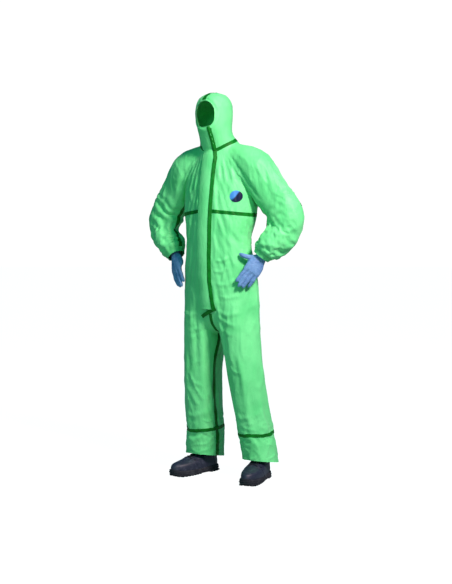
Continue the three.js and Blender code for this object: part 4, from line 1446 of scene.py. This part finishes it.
def rim_share(x: np.ndarray | float, z: np.ndarray | float) -> np.ndarray:
    """How far a place is from the face opening's centre, 1 on its rim, which is flatter over the chin."""
    across, up = np.abs((x - FACE_CENTRE.x) / FACE_HALF[0]), (z - FACE_CENTRE.z) / FACE_HALF[1]
    power = 2.0 + 1.2 * smoothstep(-np.asarray(up), 0.0, 0.6)
    return (across**power + np.abs(up) ** power) ** (1 / power)


def face_reach(points: Points) -> np.ndarray:
    """How far a point is from the face opening's centre, 1 on its rim, and large behind."""
    reach = rim_share(points[:, 0], points[:, 2])
    return np.where(points[:, 1] < -0.04, reach, np.maximum(reach, 3.0))


@dataclass
class Hood:
    """The hood's two halves, its crown tape and its gathered face edge."""

    film: Film
    room: Workroom
    crown_x: float = -0.008

    def build(self) -> None:
        """Makes the hood's two halves, its crown tape and its gathered face edge."""
        start, end = NECK_BLEND
        for side in Side:
            half = self.film.part(Band(lambda p: (p[:, 0] - self.crown_x) * side.value, 0.0))
            piece = self.room.bend(
                half.piece(f"hood_panel_{side.word}"), Finish.CLOTH, ("trunk", "hood"), start, end,
                [f"hood_{side.word}"]
            )
            self.room.sheet(piece, half, 0.36)
        crown = Band(lambda p: p[:, 0] - self.crown_x, -TAPE_HALF, TAPE_HALF)
        tape = self.film.part(
            crown, Band(face_reach, RIM_TAPE_REACH),
            Band(lambda p: np.where(p[:, 1] < -0.04, p[:, 2] - 1.74, 1.0), 0.0)
        )
        over = lambda p: 0.0011 + (swell(p) + 0.0006) * (1 - smoothstep(face_reach(p), 1.17, 1.27))
        rim = self.film.part(Band(face_reach, high=1.19)).finer(1)
        turn = lambda p: np.arctan2(p[:, 2] - FACE_CENTRE.z, p[:, 0] - FACE_CENTRE.x)
        swell = lambda p: 0.0012 + 0.0022 * np.sin(np.pi * np.clip(
            (face_reach(p) - 0.97) / 0.22, 0, 1
        )) + 0.0006 * np.sin(turn(p) * 46)
        self.room.bend(
            tape.piece("crown_tape", over, TAPE_WALL), Finish.TAPE, ("trunk", "hood"), start, end,
            ["hood_seam_tape"]
        )
        self.room.bend(
            rim.piece("face_edge_gathers", swell, 0.0034), Finish.CLOTH, ("trunk", "hood"), start, end,
            ["face_elastic"]
        )


@dataclass
class Sleeve:
    """One sleeve: its upper and lower part, the tape on its inner side and its elastic cuff."""

    side: Side
    film: Film
    room: Workroom

    def build(self) -> None:
        """Makes the sleeve in an upper and a lower part split at the elbow, with its tapes and its cuff."""
        word = self.side.word
        cut = plane(self.side.turned(ELBOW_CUT), self.side.turned(ELBOW_CUT_NORMAL))
        shoulder = (self.side.turned(ARMHOLE), self.side.turned(ARMHOLE + ARMHOLE_NORMAL * 0.050))
        elbow = (
            self.side.turned(ELBOW_CUT + ELBOW_CUT_NORMAL * 0.004),
            self.side.turned(ELBOW_CUT + ELBOW_CUT_NORMAL * 0.115)
        )
        upper_pair, lower_pair = ("trunk", f"upper_sleeve_{word}"), (f"upper_sleeve_{word}", f"lower_sleeve_{word}")
        upper, lower = self.film.part(Band(cut, high=0.0)), self.film.part(Band(cut, 0.0))
        piece = self.room.bend(
            upper.piece(f"sleeve_top_{word}"), Finish.CLOTH, upper_pair, *shoulder, [f"sleeve_upper_{word}"]
        )
        self.room.sheet(piece, upper, 0.36)
        piece = self.room.bend(
            lower.piece(f"sleeve_end_{word}"), Finish.CLOTH, lower_pair, *elbow,
            [f"sleeve_lower_{word}", f"elbow_cloth_{word}"]
        )
        self.room.sheet(piece, lower, 0.34, "gathered")
        line = Band(plane(self.side.turned(ELBOW), self.side.turned(ARM_PLANE)), -TAPE_HALF, TAPE_HALF)
        for part, name, pair, ends, nodes, way in (
            (upper, "sleeve_tape_top", upper_pair, shoulder, [], UPPER_ARM),
            (lower, "sleeve_tape_end", lower_pair, elbow, [f"sleeve_seam_tape_{word}"], FOREARM),
        ):
            inner = Band(
                plane(self.side.turned(ELBOW), self.side.turned(ARM_INWARD - way * way.dot(ARM_INWARD))), 0.0
            )
            tape = part.part(line, inner, Band(self._to_wrist, high=-0.010))
            self.room.bend(tape.piece(f"{name}_{word}", TAPE_LIFT, TAPE_WALL), Finish.TAPE, pair, *ends, nodes)
        cuff = lower.part(Band(self._to_wrist, -0.014)).finer(1)
        self.room.fit(
            cuff.piece(f"cuff_band_{word}", self._gathered, 0.0018), Finish.ELASTIC, f"lower_sleeve_{word}",
            [f"cuff_elastic_{word}"]
        )

    def _to_wrist(self, points: Points) -> np.ndarray:
        """The distance past the wrist along the forearm."""
        return plane(self.side.turned(WRIST), self.side.turned(FOREARM))(points)

    def _gathered(self, points: Points) -> np.ndarray:
        """The gathers of the elastic round the wrist."""
        offset = points - np.array(self.side.turned(WRIST))
        turn = np.arctan2(
            offset @ np.array(self.side.turned(ARM_PLANE)),
            offset @ np.array(self.side.turned(FOREARM.cross(ARM_PLANE)))
        )
        return 0.0021 + 0.0009 * np.sin(turn * 30) + 0.0004 * np.sin(turn * 47 + 1)


@dataclass
class Leg:
    """One trouser leg: thigh, shin and hem, with its tapes."""

    side: Side
    film: Film
    room: Workroom
    axis: tuple[Triple, ...] = (
        (0.05, 0.163, 0.106), (0.104, 0.158, 0.101), (0.255, 0.142, 0.080), (0.38, 0.132, 0.057),
        (0.50, 0.124, 0.037), (0.60, 0.112, 0.024), (0.70, 0.102, 0.013)
    )

    def build(self) -> None:
        """Makes the leg as a thigh, a shin and a hem, with its tapes."""
        word = self.side.word
        hip = tuple((0.0, 0.0, z) for z in HIP_BLEND)
        knee = tuple((0.0, 0.0, z) for z in KNEE_BLEND)
        hip_pair, knee_pair = ("trunk", f"thigh_{word}"), (f"thigh_{word}", f"shin_{word}")
        thigh = self.film.part(Band(height, KNEE_CUT))
        rest = self.film.part(Band(height, high=KNEE_CUT))
        shin, hem = rest.part(Band(self._shin_line, 0.0)), rest.part(Band(self._shin_line, high=0.0))
        piece = self.room.bend(
            thigh.piece(f"thigh_panel_{word}"), Finish.CLOTH, hip_pair, *hip, [f"leg_upper_{word}"]
        )
        self.room.sheet(piece, thigh, 0.13)
        piece = self.room.bend(
            shin.piece(f"shin_panel_{word}"), Finish.CLOTH, knee_pair, *knee,
            [f"leg_lower_{word}", f"knee_cloth_{word}"]
        )
        self.room.sheet(piece, shin, 0.342)
        piece = self.room.fit(hem.piece(f"hem_panel_{word}"), Finish.CLOTH, f"shin_{word}", [f"leg_hem_{word}"])
        self.room.sheet(piece, hem, 0.140)
        turned = hem.part(Band(lambda p: p[:, 2] + HEM_SLOPE * (p[:, 1] - 0.02), high=HEM + 0.023))
        self.room.fit(turned.piece(f"turned_hem_{word}", 0.0009, 0.0022), Finish.CLOTH, f"shin_{word}")
        ring = rest.part(Band(self._shin_line, -TAPE_HALF, TAPE_HALF))
        self.room.fit(
            ring.piece(f"shin_tape_{word}", 0.0012, TAPE_WALL), Finish.TAPE, f"shin_{word}",
            [f"shin_seam_tape_{word}"]
        )
        seam = (Band(self._seam_line, -TAPE_HALF * 1.15, TAPE_HALF * 1.15), Band(self._inner, 0.0))
        self.room.bend(
            thigh.part(*seam).piece(f"inseam_tape_top_{word}", 0.0012, TAPE_WALL), Finish.TAPE, hip_pair, *hip
        )
        self.room.bend(
            rest.part(*seam).piece(f"inseam_tape_end_{word}", 0.0010, TAPE_WALL), Finish.TAPE, knee_pair, *knee,
            [f"inseam_tape_{word}"]
        )

    def _centre(self, points: Points) -> tuple[np.ndarray, np.ndarray]:
        """The leg's centre in X and Y at each point's height."""
        heights, xs, ys = np.array(self.axis).T
        return np.interp(points[:, 2], heights, xs) * self.side.value, np.interp(points[:, 2], heights, ys)

    def _seam_line(self, points: Points) -> np.ndarray:
        """The distance from the inseam towards the back."""
        return points[:, 1] - self._centre(points)[1] + 0.016 * smoothstep(-points[:, 2], -0.68, -0.58)

    def _inner(self, points: Points) -> np.ndarray:
        """The distance from the leg's centre towards the other leg."""
        return (self._centre(points)[0] - points[:, 0]) * self.side.value

    def _shin_line(self, points: Points) -> np.ndarray:
        """The distance above the shin seam, which sags a little in front."""
        front = np.clip((self._centre(points)[1] - points[:, 1]) / 0.09, -0.4, 1)
        return points[:, 2] - (SHIN_CUT - 0.008 * front + 0.003 * np.sin(points[:, 0] * 46))


# ---- gloves ----


@dataclass
class Glove:
    """A thin dipped glove on a hand that rests on the hip."""

    side: Side
    room: Workroom
    finger_radius: float = 0.0096

    def build(self) -> None:
        """Makes the glove as one skin, opens it at the wrist and gives it its wall."""
        bm = bmesh.new()
        self._palm(bm)
        self._fingers(bm)
        self._thumb(bm)
        bmesh.ops.recalc_face_normals(bm, faces=bm.faces[:])
        piece = remeshed(object_from(bm, f"glove_skin_{self.side.word}", recalc=False), 0.0026)
        bm = bmesh.new()
        bm.from_mesh(piece.data)
        soften(bm, bm.verts[:], 3)
        self._wrinkle(bm)
        along = self.frame[0]
        bmesh.ops.bisect_plane(
            bm, geom=all_of(bm), plane_co=self._at(-0.008, 0, 0), plane_no=-along, clear_outer=True, dist=1e-5
        )
        if self.side is Side.RIGHT:
            bmesh.ops.scale(bm, vec=(-1, 1, 1), verts=bm.verts[:])
            bmesh.ops.reverse_faces(bm, faces=bm.faces[:])
        bm.to_mesh(piece.data)
        bm.free()
        modifier = piece.modifiers.new("wall", "SOLIDIFY")
        modifier.thickness, modifier.offset = 0.0007, -1.0
        baked(piece)
        piece.data.polygons.foreach_set("use_smooth", [True] * len(piece.data.polygons))
        self.room.fit(piece, Finish.NITRILE, f"hand_{self.side.word}", [f"glove_{self.side.word}"])

    @property
    def frame(self) -> tuple[Vector, Vector, Vector]:
        """The hand's way, its way across from the thumb, and out of its back."""
        along, back = (
            (Vector((-0.39, -0.42, -0.82)), Vector((0.72, -0.69, 0.0)))
            if self.side is Side.LEFT
            else (Vector((-0.38, -0.40, -0.835)), Vector((0.45, -0.88, 0.10)))
        )
        along.normalize()
        back = (back - along * back.dot(along)).normalized()
        return along, back.cross(along).normalized(), back

    def _at(self, along: float, across: float, back: float) -> Vector:
        """A point by distances along the hand, across it and out of its back."""
        way, side, out = self.frame
        return WRIST + way * along + side * across + out * back

    def _limb(
        self, bm: Shape, stations: Sequence[tuple[float, float, float, float, float]], rows: int, sides: int,
        across: Vector | None = None
    ) -> None:
        """Adds a closed limb through stations of (along, across, back, half width, half depth)."""
        _, side, out = self.frame
        side = across or side
        rings, passed, last = [], 0.0, None
        for along, offset, back, wide, deep in stations:
            centre = self._at(along, offset, back)
            passed += (centre - last).length if last is not None else 0.0
            last = centre
            rings.append(Ring(passed, tuple(centre), wide, deep, tuple(side), tuple(out)))
        Loft(rings).into(bm, rows, sides)

    def _palm(self, bm: Shape) -> None:
        """The wrist, the palm and the row of knuckles."""
        self._limb(bm, [
            (-0.014, 0, 0, 0.0255, 0.0220), (0.008, 0, 0, 0.0260, 0.0205), (0.030, 0, 0.0005, 0.0310, 0.0185),
            (0.058, 0, 0.001, 0.0395, 0.0165), (
                0.086, 0, 0.0015, 0.0415, 0.0140
            ), (0.102, 0, -0.001, 0.0375, 0.0110), (0.108, 0, -0.002, 0.0250, 0.0060),
        ], 22, 36)
        self._limb(
            bm,
            [
                (0.022, -0.014, -0.006, 0.010, 0.009), (0.045, -0.024, -0.009, 0.0165, 0.013),
                (0.070, -0.027, -0.007, 0.013, 0.011), (0.088, -0.028, -0.004, 0.006, 0.006)
            ],
            12, 20
        )
        self._limb(
            bm,
            [
                (0.020, 0.014, -0.006, 0.008, 0.008), (0.048, 0.027, -0.007, 0.0125, 0.012),
                (0.082, 0.030, -0.004, 0.010, 0.010), (0.094, 0.030, -0.003, 0.005, 0.005)
            ],
            12, 20
        )

    def _fingers(self, bm: Shape) -> None:
        """Four fingers side by side, the outer ones shorter, bent a little at each joint."""
        base = self.finger_radius
        for i, (length, droop, spread) in enumerate((
            (0.070, 0.016, 1.10), (0.084, 0.013, 1.02), (0.090, 0.011, 1.0), (0.080, 0.012, 1.06)
        )):
            w = (1.5 - i) * 0.0192
            r = base * (0.90, 1.0, 1.04, 1.0)[i]
            root = 0.088 + (0.002, 0.006, 0.007, 0.003)[i]
            self._limb(bm, [
                (root - 0.020, w * 0.90, -0.001, r * 1.02, r * 0.98),
                (root + 0.006, w * 0.97, 0.0012, r * 1.06, r * 1.02),
                (root + length * 0.24, w * 1.00, -0.0005, r * 0.97, r * 0.93),
                (root + length * 0.46, w * spread, -droop * 0.28, r * 1.03, r * 0.99),
                (root + length * 0.62, w * spread, -droop * 0.48, r * 0.92, r * 0.88),
                (root + length * 0.78, w * spread, -droop * 0.76, r * 0.94, r * 0.86),
                (root + length * 0.93, w * spread, -droop * 1.02, r * 0.78, r * 0.70),
                (root + length, w * spread, -droop * 1.16, r * 0.34, r * 0.32),
            ], 26, 20)

    def _thumb(self, bm: Shape) -> None:
        """The thumb: away from the left hand, beside the first finger on the right one."""
        if self.side is Side.LEFT:
            way = [
                (0.020, -0.012, -0.004), (0.034, -0.030, -0.006), (0.046, -0.052, -0.011), (0.052, -0.070, -0.016),
                (0.055, -0.083, -0.021), (0.056, -0.090, -0.024)
            ]
        else:
            way = [
                (0.018, -0.014, -0.003), (0.034, -0.029, -0.004), (0.054, -0.037, -0.005), (0.068, -0.041, -0.005),
                (0.079, -0.0425, -0.005), (0.087, -0.043, -0.005)
            ]
        radii = [0.0130, 0.0125, 0.0112, 0.0108, 0.0085, 0.0034]
        points = [self._at(*p) for p in way]
        run = (points[-1] - points[0]).normalized()
        across = self.frame[2].cross(run).normalized()
        self._limb(bm, [(*p, r, r * 0.92) for p, r in zip(way, radii)], 22, 20, across)

    def _wrinkle(self, bm: Shape) -> None:
        """Stretch wrinkles across the back of the hand and at the finger joints."""
        bm.normal_update()
        along, across, _ = self.frame
        for vert in bm.verts:
            offset = vert.co - WRIST
            s, w = offset.dot(along), offset.dot(across)
            wander = noise.noise(vert.co * 34.0 + Vector((self.side.value, 0, 2)))
            back = math.sin((s * 0.80 + w * 0.62) * 640 + wander * 5.0) * 0.00055
            palm_share = max(0.0, min(1.0, (0.100 - s) / 0.03)) * max(0.0, min(1.0, s / 0.02))
            joints = sum(math.exp(-(((s - at) / 0.0075) ** 2)) for at in (0.128, 0.152))
            ring = math.sin(s * 1900 + wander * 3) * 0.00028 * joints
            slack = noise.noise(vert.co * 70.0) * 0.0006
            vert.co += vert.normal * (back * palm_share * (0.5 + 0.5 * wander) + ring + slack)


# ---- shoes ----


@dataclass
class Shoe:
    """A safety shoe: a lasted upper with its overlays, a padded collar, laces and a treaded sole."""

    side: Side
    room: Workroom
    sole_height: float = 0.028
    collar_height: float = 0.104
    heel: float = 0.078
    toe: float = -0.218
    half: float = 0.050

    def build(self) -> None:
        """Makes the upper, its overlays, its laces and the sole."""
        film = self._upper()
        word, foot = self.side.word, f"foot_{self.side.word}"
        self.room.fit(
            self._placed(film.piece(f"shoe_vamp_{word}", 0.0, 0.0028)), Finish.LEATHER, foot, [f"shoe_upper_{word}"]
        )
        parts = {
            "toe_cap": (
                Band(lambda p: p[:, 1] + 0.10 * np.abs(p[:, 0]) / self.half, high=-0.142),
                Band(height, self.sole_height)
            ),
            "heel_counter": (
                Band(lambda p: p[:, 1] - 0.35 * (0.07 - p[:, 2]), 0.026), Band(height, self.sole_height, 0.082)
            ),
            "eye_stay_inner": (Band(in_x, -0.040, -0.013), Band(in_y, -0.112, -0.018), Band(height, 0.064)),
            "eye_stay_outer": (Band(in_x, 0.013, 0.040), Band(in_y, -0.112, -0.018), Band(height, 0.064)),
            "side_panel": (
                Band(lambda p: p[:, 1] + 0.9 * (p[:, 2] - 0.05), -0.098, -0.070),
                Band(height, self.sole_height, 0.076)
            ),
        }
        for name, bands in parts.items():
            overlay = film.part(*bands)
            if overlay.bm.faces:
                self.room.fit(
                    self._placed(overlay.piece(f"shoe_{name}_{word}", 0.0013, 0.0016, even=False)), Finish.LEATHER,
                    foot
                )
        edge = film.part(Band(height, 0.091)).finer(1)
        padded = edge.piece(
            f"shoe_collar_{word}",
            lambda p: 0.0035 * np.sin(np.pi * np.clip((p[:, 2] - 0.089) / 0.017, 0, 1)) ** 0.6, 0.0070, even=False
        )
        self.room.fit(self._placed(padded), Finish.LEATHER, foot)
        self._laces(film)
        self._sole()

    def _placed(self, piece: Piece) -> Piece:
        """Turns a piece of the left shoe out, moves it under the ankle and mirrors it if needed."""
        place = Matrix.Translation(ANKLE) @ Matrix.Rotation(TOE_OUT, 4, "Z")
        if self.side is Side.RIGHT:
            place = Matrix.Diagonal((-1, 1, 1, 1)) @ place
        piece.data.transform(place)
        if self.side is Side.RIGHT:
            piece.data.flip_normals()
        piece.data.update()
        return piece

    def _upper(self) -> Film:
        """The lasted upper as a film, before it is turned and placed."""
        rings = [
            (self.sole_height - 0.002, self.heel - 0.002, self.toe + 0.003, self.half - 0.001),
            (self.sole_height + 0.016, self.heel, self.toe + 0.001, self.half),
            (self.sole_height + 0.032, self.heel - 0.002, self.toe + 0.015, self.half - 0.002),
            (self.sole_height + 0.048, self.heel - 0.005, self.toe + 0.084, self.half - 0.006),
            (self.sole_height + 0.062, self.heel - 0.010, self.toe + 0.144, self.half - 0.011),
            (self.collar_height, self.heel - 0.014, -0.044, self.half - 0.015),
        ]
        loft = Loft([Ring(z, (0, (heel + toe) / 2, z), half, (heel - toe) / 2) for z, heel, toe, half in rings])
        bm = bmesh.new()
        loft.into(bm, 26, 72)
        for vert in bm.verts:
            share = (vert.co.y - self.toe) / (self.heel - self.toe)
            waist = 1 - 0.13 * math.exp(-(((share - 0.62) / 0.16) ** 2)) * (1 if vert.co.z < 0.08 else 0.5)
            box = 1 + 0.06 * math.exp(-(((share - 0.12) / 0.16) ** 2))
            vert.co.x *= waist * box
        bmesh.ops.recalc_face_normals(bm, faces=bm.faces[:])
        caps = [f for f in bm.faces if len(f.verts) > 4]
        bmesh.ops.delete(bm, geom=caps, context="FACES_ONLY")
        for vert in bm.verts:
            crease = math.sin((vert.co.y + 0.118) * 420) * math.exp(-(((vert.co.y + 0.112) / 0.020) ** 2))
            vert.co.z += 0.0009 * crease * (1 if vert.co.z > 0.05 else 0)
        piece = object_from(bm, "shoe_last", recalc=False)
        refined(piece)
        film = Film.of(piece.data, places_of(piece.data), normals_of(piece.data))
        bpy.data.objects.remove(piece)
        return film

    def _laces(self, film: Film) -> None:
        """Flat laces that cross over the throat, and the eyelets that they pass through."""
        throat = [v for v in film.bm.verts if v[film.worn].z > 0.05 and v[film.worn].y < 0.0]
        tree, ways = [v[film.worn].copy() for v in throat], [v[film.normal].copy() for v in throat]

        def on(x: float, y: float, lift: float) -> tuple[Vector, Vector]:
            """The place on the upper nearest to a point seen from above, lifted off it."""
            i = min(range(len(tree)), key=lambda k: (tree[k].x - x) ** 2 + (tree[k].y - y) ** 2 - 0.02 * tree[k].z)
            way = ways[i].normalized()
            return Vector((x, y, tree[i].z + lift * max(way.z, 0.6))), way

        bm = bmesh.new()
        rows = [-0.112, -0.094, -0.073, -0.060]
        for i, (low, high) in enumerate(zip(rows, rows[1:] + [-0.049])):
            for way in (1, -1):
                rings, passed, last = [], 0.0, None
                for k in range(7):
                    t = k / 6
                    x, y = way * 0.0215 * (1 - 2 * t), low + (high - low) * t
                    centre, out = on(x, y, 0.0016 + (0.0010 if way > 0 else 0.0) * math.sin(math.pi * t))
                    passed += (centre - last).length if last is not None else 0.0
                    last = centre
                    run = Vector((-way * 0.043, high - low, (high - low) * 0.6)).normalized()
                    side = out.cross(run).normalized()
                    rings.append(Ring(
                        passed, tuple(centre), 0.0026, 0.0011, tuple(side), tuple(run.cross(side).normalized() * -1)
                    ))
                Loft(rings).into(bm, 10, 10)
        self.room.fit(
            self._placed(object_from(bm, f"shoe_laces_{self.side.word}")), Finish.LACE, f"foot_{self.side.word}",
            [f"shoe_lace_{self.side.word}"]
        )
        bm = bmesh.new()
        for y in rows:
            for way in (1, -1):
                centre, out = on(way * 0.0225, y, 0.0022)
                turn = out.to_track_quat("Z", "Y").to_matrix().to_4x4()
                loop = bmesh.ops.create_circle(
                    bm, cap_ends=False, segments=10, radius=0.0008,
                    matrix=Matrix.Translation(centre) @ turn @ Matrix.Translation((0.0030, 0, 0)) @ Matrix.Rotation(math.pi / 2, 4, "X")
                )
                edges = list({e for v in loop["verts"] for e in v.link_edges})
                bmesh.ops.spin(
                    bm, geom=loop["verts"] + edges, cent=centre, axis=out, angle=math.tau, steps=16, use_merge=True
                )
        bmesh.ops.remove_doubles(bm, verts=bm.verts[:], dist=1e-6)
        self.room.fit(
            self._placed(object_from(bm, f"shoe_eyelets_{self.side.word}")), Finish.LEATHER,
            f"foot_{self.side.word}"
        )

    def _share(self, y: float) -> float:
        """How far along the shoe a place is, from 0 at the toe to 1 at the heel."""
        return (y - self.toe) / (self.heel - self.toe)

    def _toe_lift(self, y: float) -> float:
        """How far the toe curls up off the floor."""
        return 0.010 * max(0.0, (0.16 - self._share(y)) / 0.16) ** 2

    def _rim(self, angle: float, grow: float) -> tuple[float, float]:
        """A place on the sole's outline, which narrows at the waist and the heel."""
        c, s = math.cos(angle), math.sin(angle)
        y = (self.heel + self.toe) / 2 + math.copysign(abs(s) ** 0.86, s) * ((self.heel - self.toe) / 2 + grow)
        share = self._share(y)
        wide = 1 - 0.17 * math.exp(-(((share - 0.60) / 0.17) ** 2)) - 0.08 * float(smoothstep(
            np.array(share), 0.6, 1.0
        ))
        return math.copysign(abs(c) ** 0.80, c) * (self.half + grow) * wide, y

    def _outline(self, bm: Shape, z: float, grow: float) -> list[bmesh.types.BMVert]:
        """One level outline of the sole."""
        made = bmesh.ops.create_circle(bm, cap_ends=False, segments=64, radius=1.0)["verts"]
        for vert in made:
            x, y = self._rim(math.atan2(vert.co.y, vert.co.x), grow)
            vert.co = (x, y, z + self._toe_lift(y))
        return made

    def _sole(self) -> None:
        """The moulded sole: a rand, two grooves, a bumper toe and cleats underneath."""
        bm = bmesh.new()
        profile = [
            (0.0040, -0.0010), (0.0062, 0.0034), (0.0105, 0.0042), (0.0118, 0.0026), (0.0132, 0.0042),
            (0.0190, 0.0046), (0.0204, 0.0030), (0.0218, 0.0044), (0.0268, 0.0040), (0.0296, 0.0012),
            (0.0300, -0.0060)
        ]
        loops = []
        for z, grow in profile:
            verts = self._outline(bm, z, grow)
            loops.append(list({e for v in verts for e in v.link_edges}))
        for low, high in zip(loops, loops[1:]):
            bmesh.ops.bridge_loops(bm, edges=low + high)
        bmesh.ops.holes_fill(bm, edges=[e for e in bm.edges if e.is_boundary], sides=0)
        for row in range(15):
            y = self.toe + 0.020 + row * 0.0190
            share = self._share(y)
            if 0.58 < share < 0.72:
                continue
            wide = self.half * math.sqrt(max(
                0.05, 1 - ((share - 0.5) / 0.53) ** 4
            )) * (1 - 0.17 * math.exp(-(((share - 0.60) / 0.17) ** 2)))
            for x, size in ((-0.72 * wide, 0.42 * wide), (0.72 * wide, 0.42 * wide), (0.0, 0.70 * wide)):
                turn = Matrix.Rotation(0.35 if x > 0 else (-0.35 if x < 0 else 0.0), 4, "Z")
                place = Matrix.Translation((
                    x, y, 0.0034 + self._toe_lift(y)
                )) @ turn @ Matrix.Diagonal((size, 0.0118, 0.0068, 1.0))
                bmesh.ops.create_cube(bm, size=1.0, matrix=place)
        sharp = [e for e in bm.edges if len(e.link_faces) == 2 and e.calc_face_angle(0) > 1.0]
        chamfer(bm, sharp, 0.0007)
        for i in range(42):
            angle = math.tau * i / 42
            x, y = self._rim(angle, 0.0040)
            place = Matrix.Translation((x, y, 0.0162 + self._toe_lift(y))) @ Matrix.Rotation(angle, 4, "Z")
            made = bmesh.ops.create_cube(
                bm, size=1.0, matrix=place @ Matrix.Diagonal((0.0030, 0.0060, 0.0052, 1.0))
            )
            edges = list({e for v in made["verts"] for e in v.link_edges})
            chamfer(bm, edges, 0.0007)
        low = min(v.co.z for v in bm.verts)
        bmesh.ops.translate(bm, vec=(0, 0, -low), verts=bm.verts[:])
        sole = object_from(bm, f"shoe_sole_rubber_{self.side.word}", smooth=False)
        self.room.fit(self._placed(sole), Finish.RUBBER, f"foot_{self.side.word}", [f"shoe_sole_{self.side.word}"])


# ---- studio ----


@dataclass
class Studio:
    """A pale room with a soft key light from the wearer's left and a dim, cool fill."""

    azimuth: float = 33.0
    distance: float = 5.5
    eye: float = 1.15
    aim: Triple = (0.0198, 0.0129, 0.887)
    key_power: float = 265.0
    fill_strength: float = 0.17

    def build(self) -> None:
        """Makes the floor, the lights and the camera."""
        self._floor()
        self._lights()
        self._camera()

    def _floor(self) -> None:
        """A wide pale floor."""
        bm = bmesh.new()
        bmesh.ops.create_circle(bm, cap_ends=True, segments=96, radius=40.0)
        floor = object_from(bm, "studio_floor")
        recipe = Recipe("pale_floor", 0.9, 0.1)
        recipe.coloured(recipe.noise(3.0), (0.14, 0.24, 0.24), (0.15, 0.26, 0.26))
        recipe.shader.inputs["Emission Color"].default_value = (1.0, 1.0, 1.0, 1.0)
        seen = recipe.nodes.new("ShaderNodeLightPath").outputs["Is Camera Ray"]
        strength = recipe.math("ADD", recipe.math("MULTIPLY", seen, 0.85), 0.14)
        recipe.links.new(strength, recipe.shader.inputs["Emission Strength"])
        floor.data.materials.append(recipe.material)

    def _light(
        self, name: str, azimuth: float, elevation: float, distance: float, size: float, power: float,
        colour: Sequence[float]
    ) -> None:
        """An area light that looks at the chest.

        Args:
            name: its name.
            azimuth: degrees from the front towards the wearer's left.
            elevation: degrees above the chest.
            distance: metres from the chest.
            size: its side.
            power: in watts.
            colour: its colour.
        """
        data = bpy.data.lights.new(name, "AREA")
        data.energy, data.size, data.color = power, size, colour
        light = bpy.data.objects.new(name, data)
        bpy.context.scene.collection.objects.link(light)
        turn, rise = math.radians(azimuth), math.radians(elevation)
        offset = Vector((
            math.sin(turn) * math.cos(rise), -math.cos(turn) * math.cos(rise), math.sin(rise)
        )) * distance
        light.location = Vector((0, 0, 1.0)) + offset
        light.rotation_euler = (-offset).to_track_quat("-Z", "Y").to_euler()

    def _lights(self) -> None:
        """The key light, a weak front light and the room's own light."""
        self._light("key", 66, 38, 4.2, 0.7, self.key_power, (1.0, 0.80, 0.80))
        self._light("front", 6, 24, 5.0, 1.2, self.key_power * 0.17, (0.22, 1.0, 0.72))
        world = bpy.data.worlds.new("pale_room")
        bpy.context.scene.world = world
        world.use_nodes = True
        nodes, links = world.node_tree.nodes, world.node_tree.links
        output, fill = nodes["World Output"], nodes["Background"]
        fill.inputs["Color"].default_value = (0.05, 0.56, 1.0, 1.0)
        fill.inputs["Strength"].default_value = self.fill_strength
        seen = nodes.new("ShaderNodeBackground")
        seen.inputs["Color"].default_value = (1.0, 1.0, 1.0, 1.0)
        seen.inputs["Strength"].default_value = 1.05
        path, mix = nodes.new("ShaderNodeLightPath"), nodes.new("ShaderNodeMixShader")
        links.new(path.outputs["Is Camera Ray"], mix.inputs["Fac"])
        links.new(fill.outputs["Background"], mix.inputs[1])
        links.new(seen.outputs["Background"], mix.inputs[2])
        links.new(mix.outputs["Shader"], output.inputs["Surface"])
        bpy.context.scene.view_settings.view_transform = "Standard"

    def _camera(self) -> None:
        """The camera, a little above the waist and to the wearer's left."""
        data = bpy.data.cameras.new("camera")
        data.sensor_fit, data.sensor_height, data.lens = "VERTICAL", 24.0, 47.9
        camera = bpy.data.objects.new("camera", data)
        bpy.context.scene.collection.objects.link(camera)
        turn = math.radians(self.azimuth)
        camera.location = (math.sin(turn) * self.distance, -math.cos(turn) * self.distance, self.eye)
        camera.rotation_euler = (Vector(self.aim) - camera.location).to_track_quat("-Z", "Y").to_euler()
        bpy.context.scene.camera = camera


def main() -> None:
    """Builds the suit piece by piece."""
    logging.basicConfig(level=logging.INFO, format="%(message)s")
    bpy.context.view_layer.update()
    Studio().build()
    room = Workroom(Wardrobe(Palette()))
    pattern = Pattern()
    whole = Drape(pattern).film()
    log.info("film: %d faces", len(whole.bm.faces))
    off_arm, on_arm = Band(arm_measure, high=0.0), Band(arm_measure, 0.0)
    body = whole.part(off_arm)
    trunk = body.part(Band(height, HIP_CUT), NECK_BAND)
    hood = body.part(Band(height, 1.45), Band(neck, 0.0))
    Trunk(trunk, body.part(Band(height, 1.45), Band(neck, -0.03, 0.03)), room).build()
    Hood(hood, room).build()
    Closure(trunk, hood, room, pattern).build()
    for side in Side:
        half = Band(lambda p: p[:, 0] * side.value, 0.0)
        Sleeve(side, whole.part(on_arm, half), room).build()
        Leg(side, body.part(Band(height, high=HIP_CUT), half), room).build()
        Glove(side, room).build()
        Shoe(side, room).build()
    log.info("%d pieces", room.count)


if __name__ == "__main__":
    main()
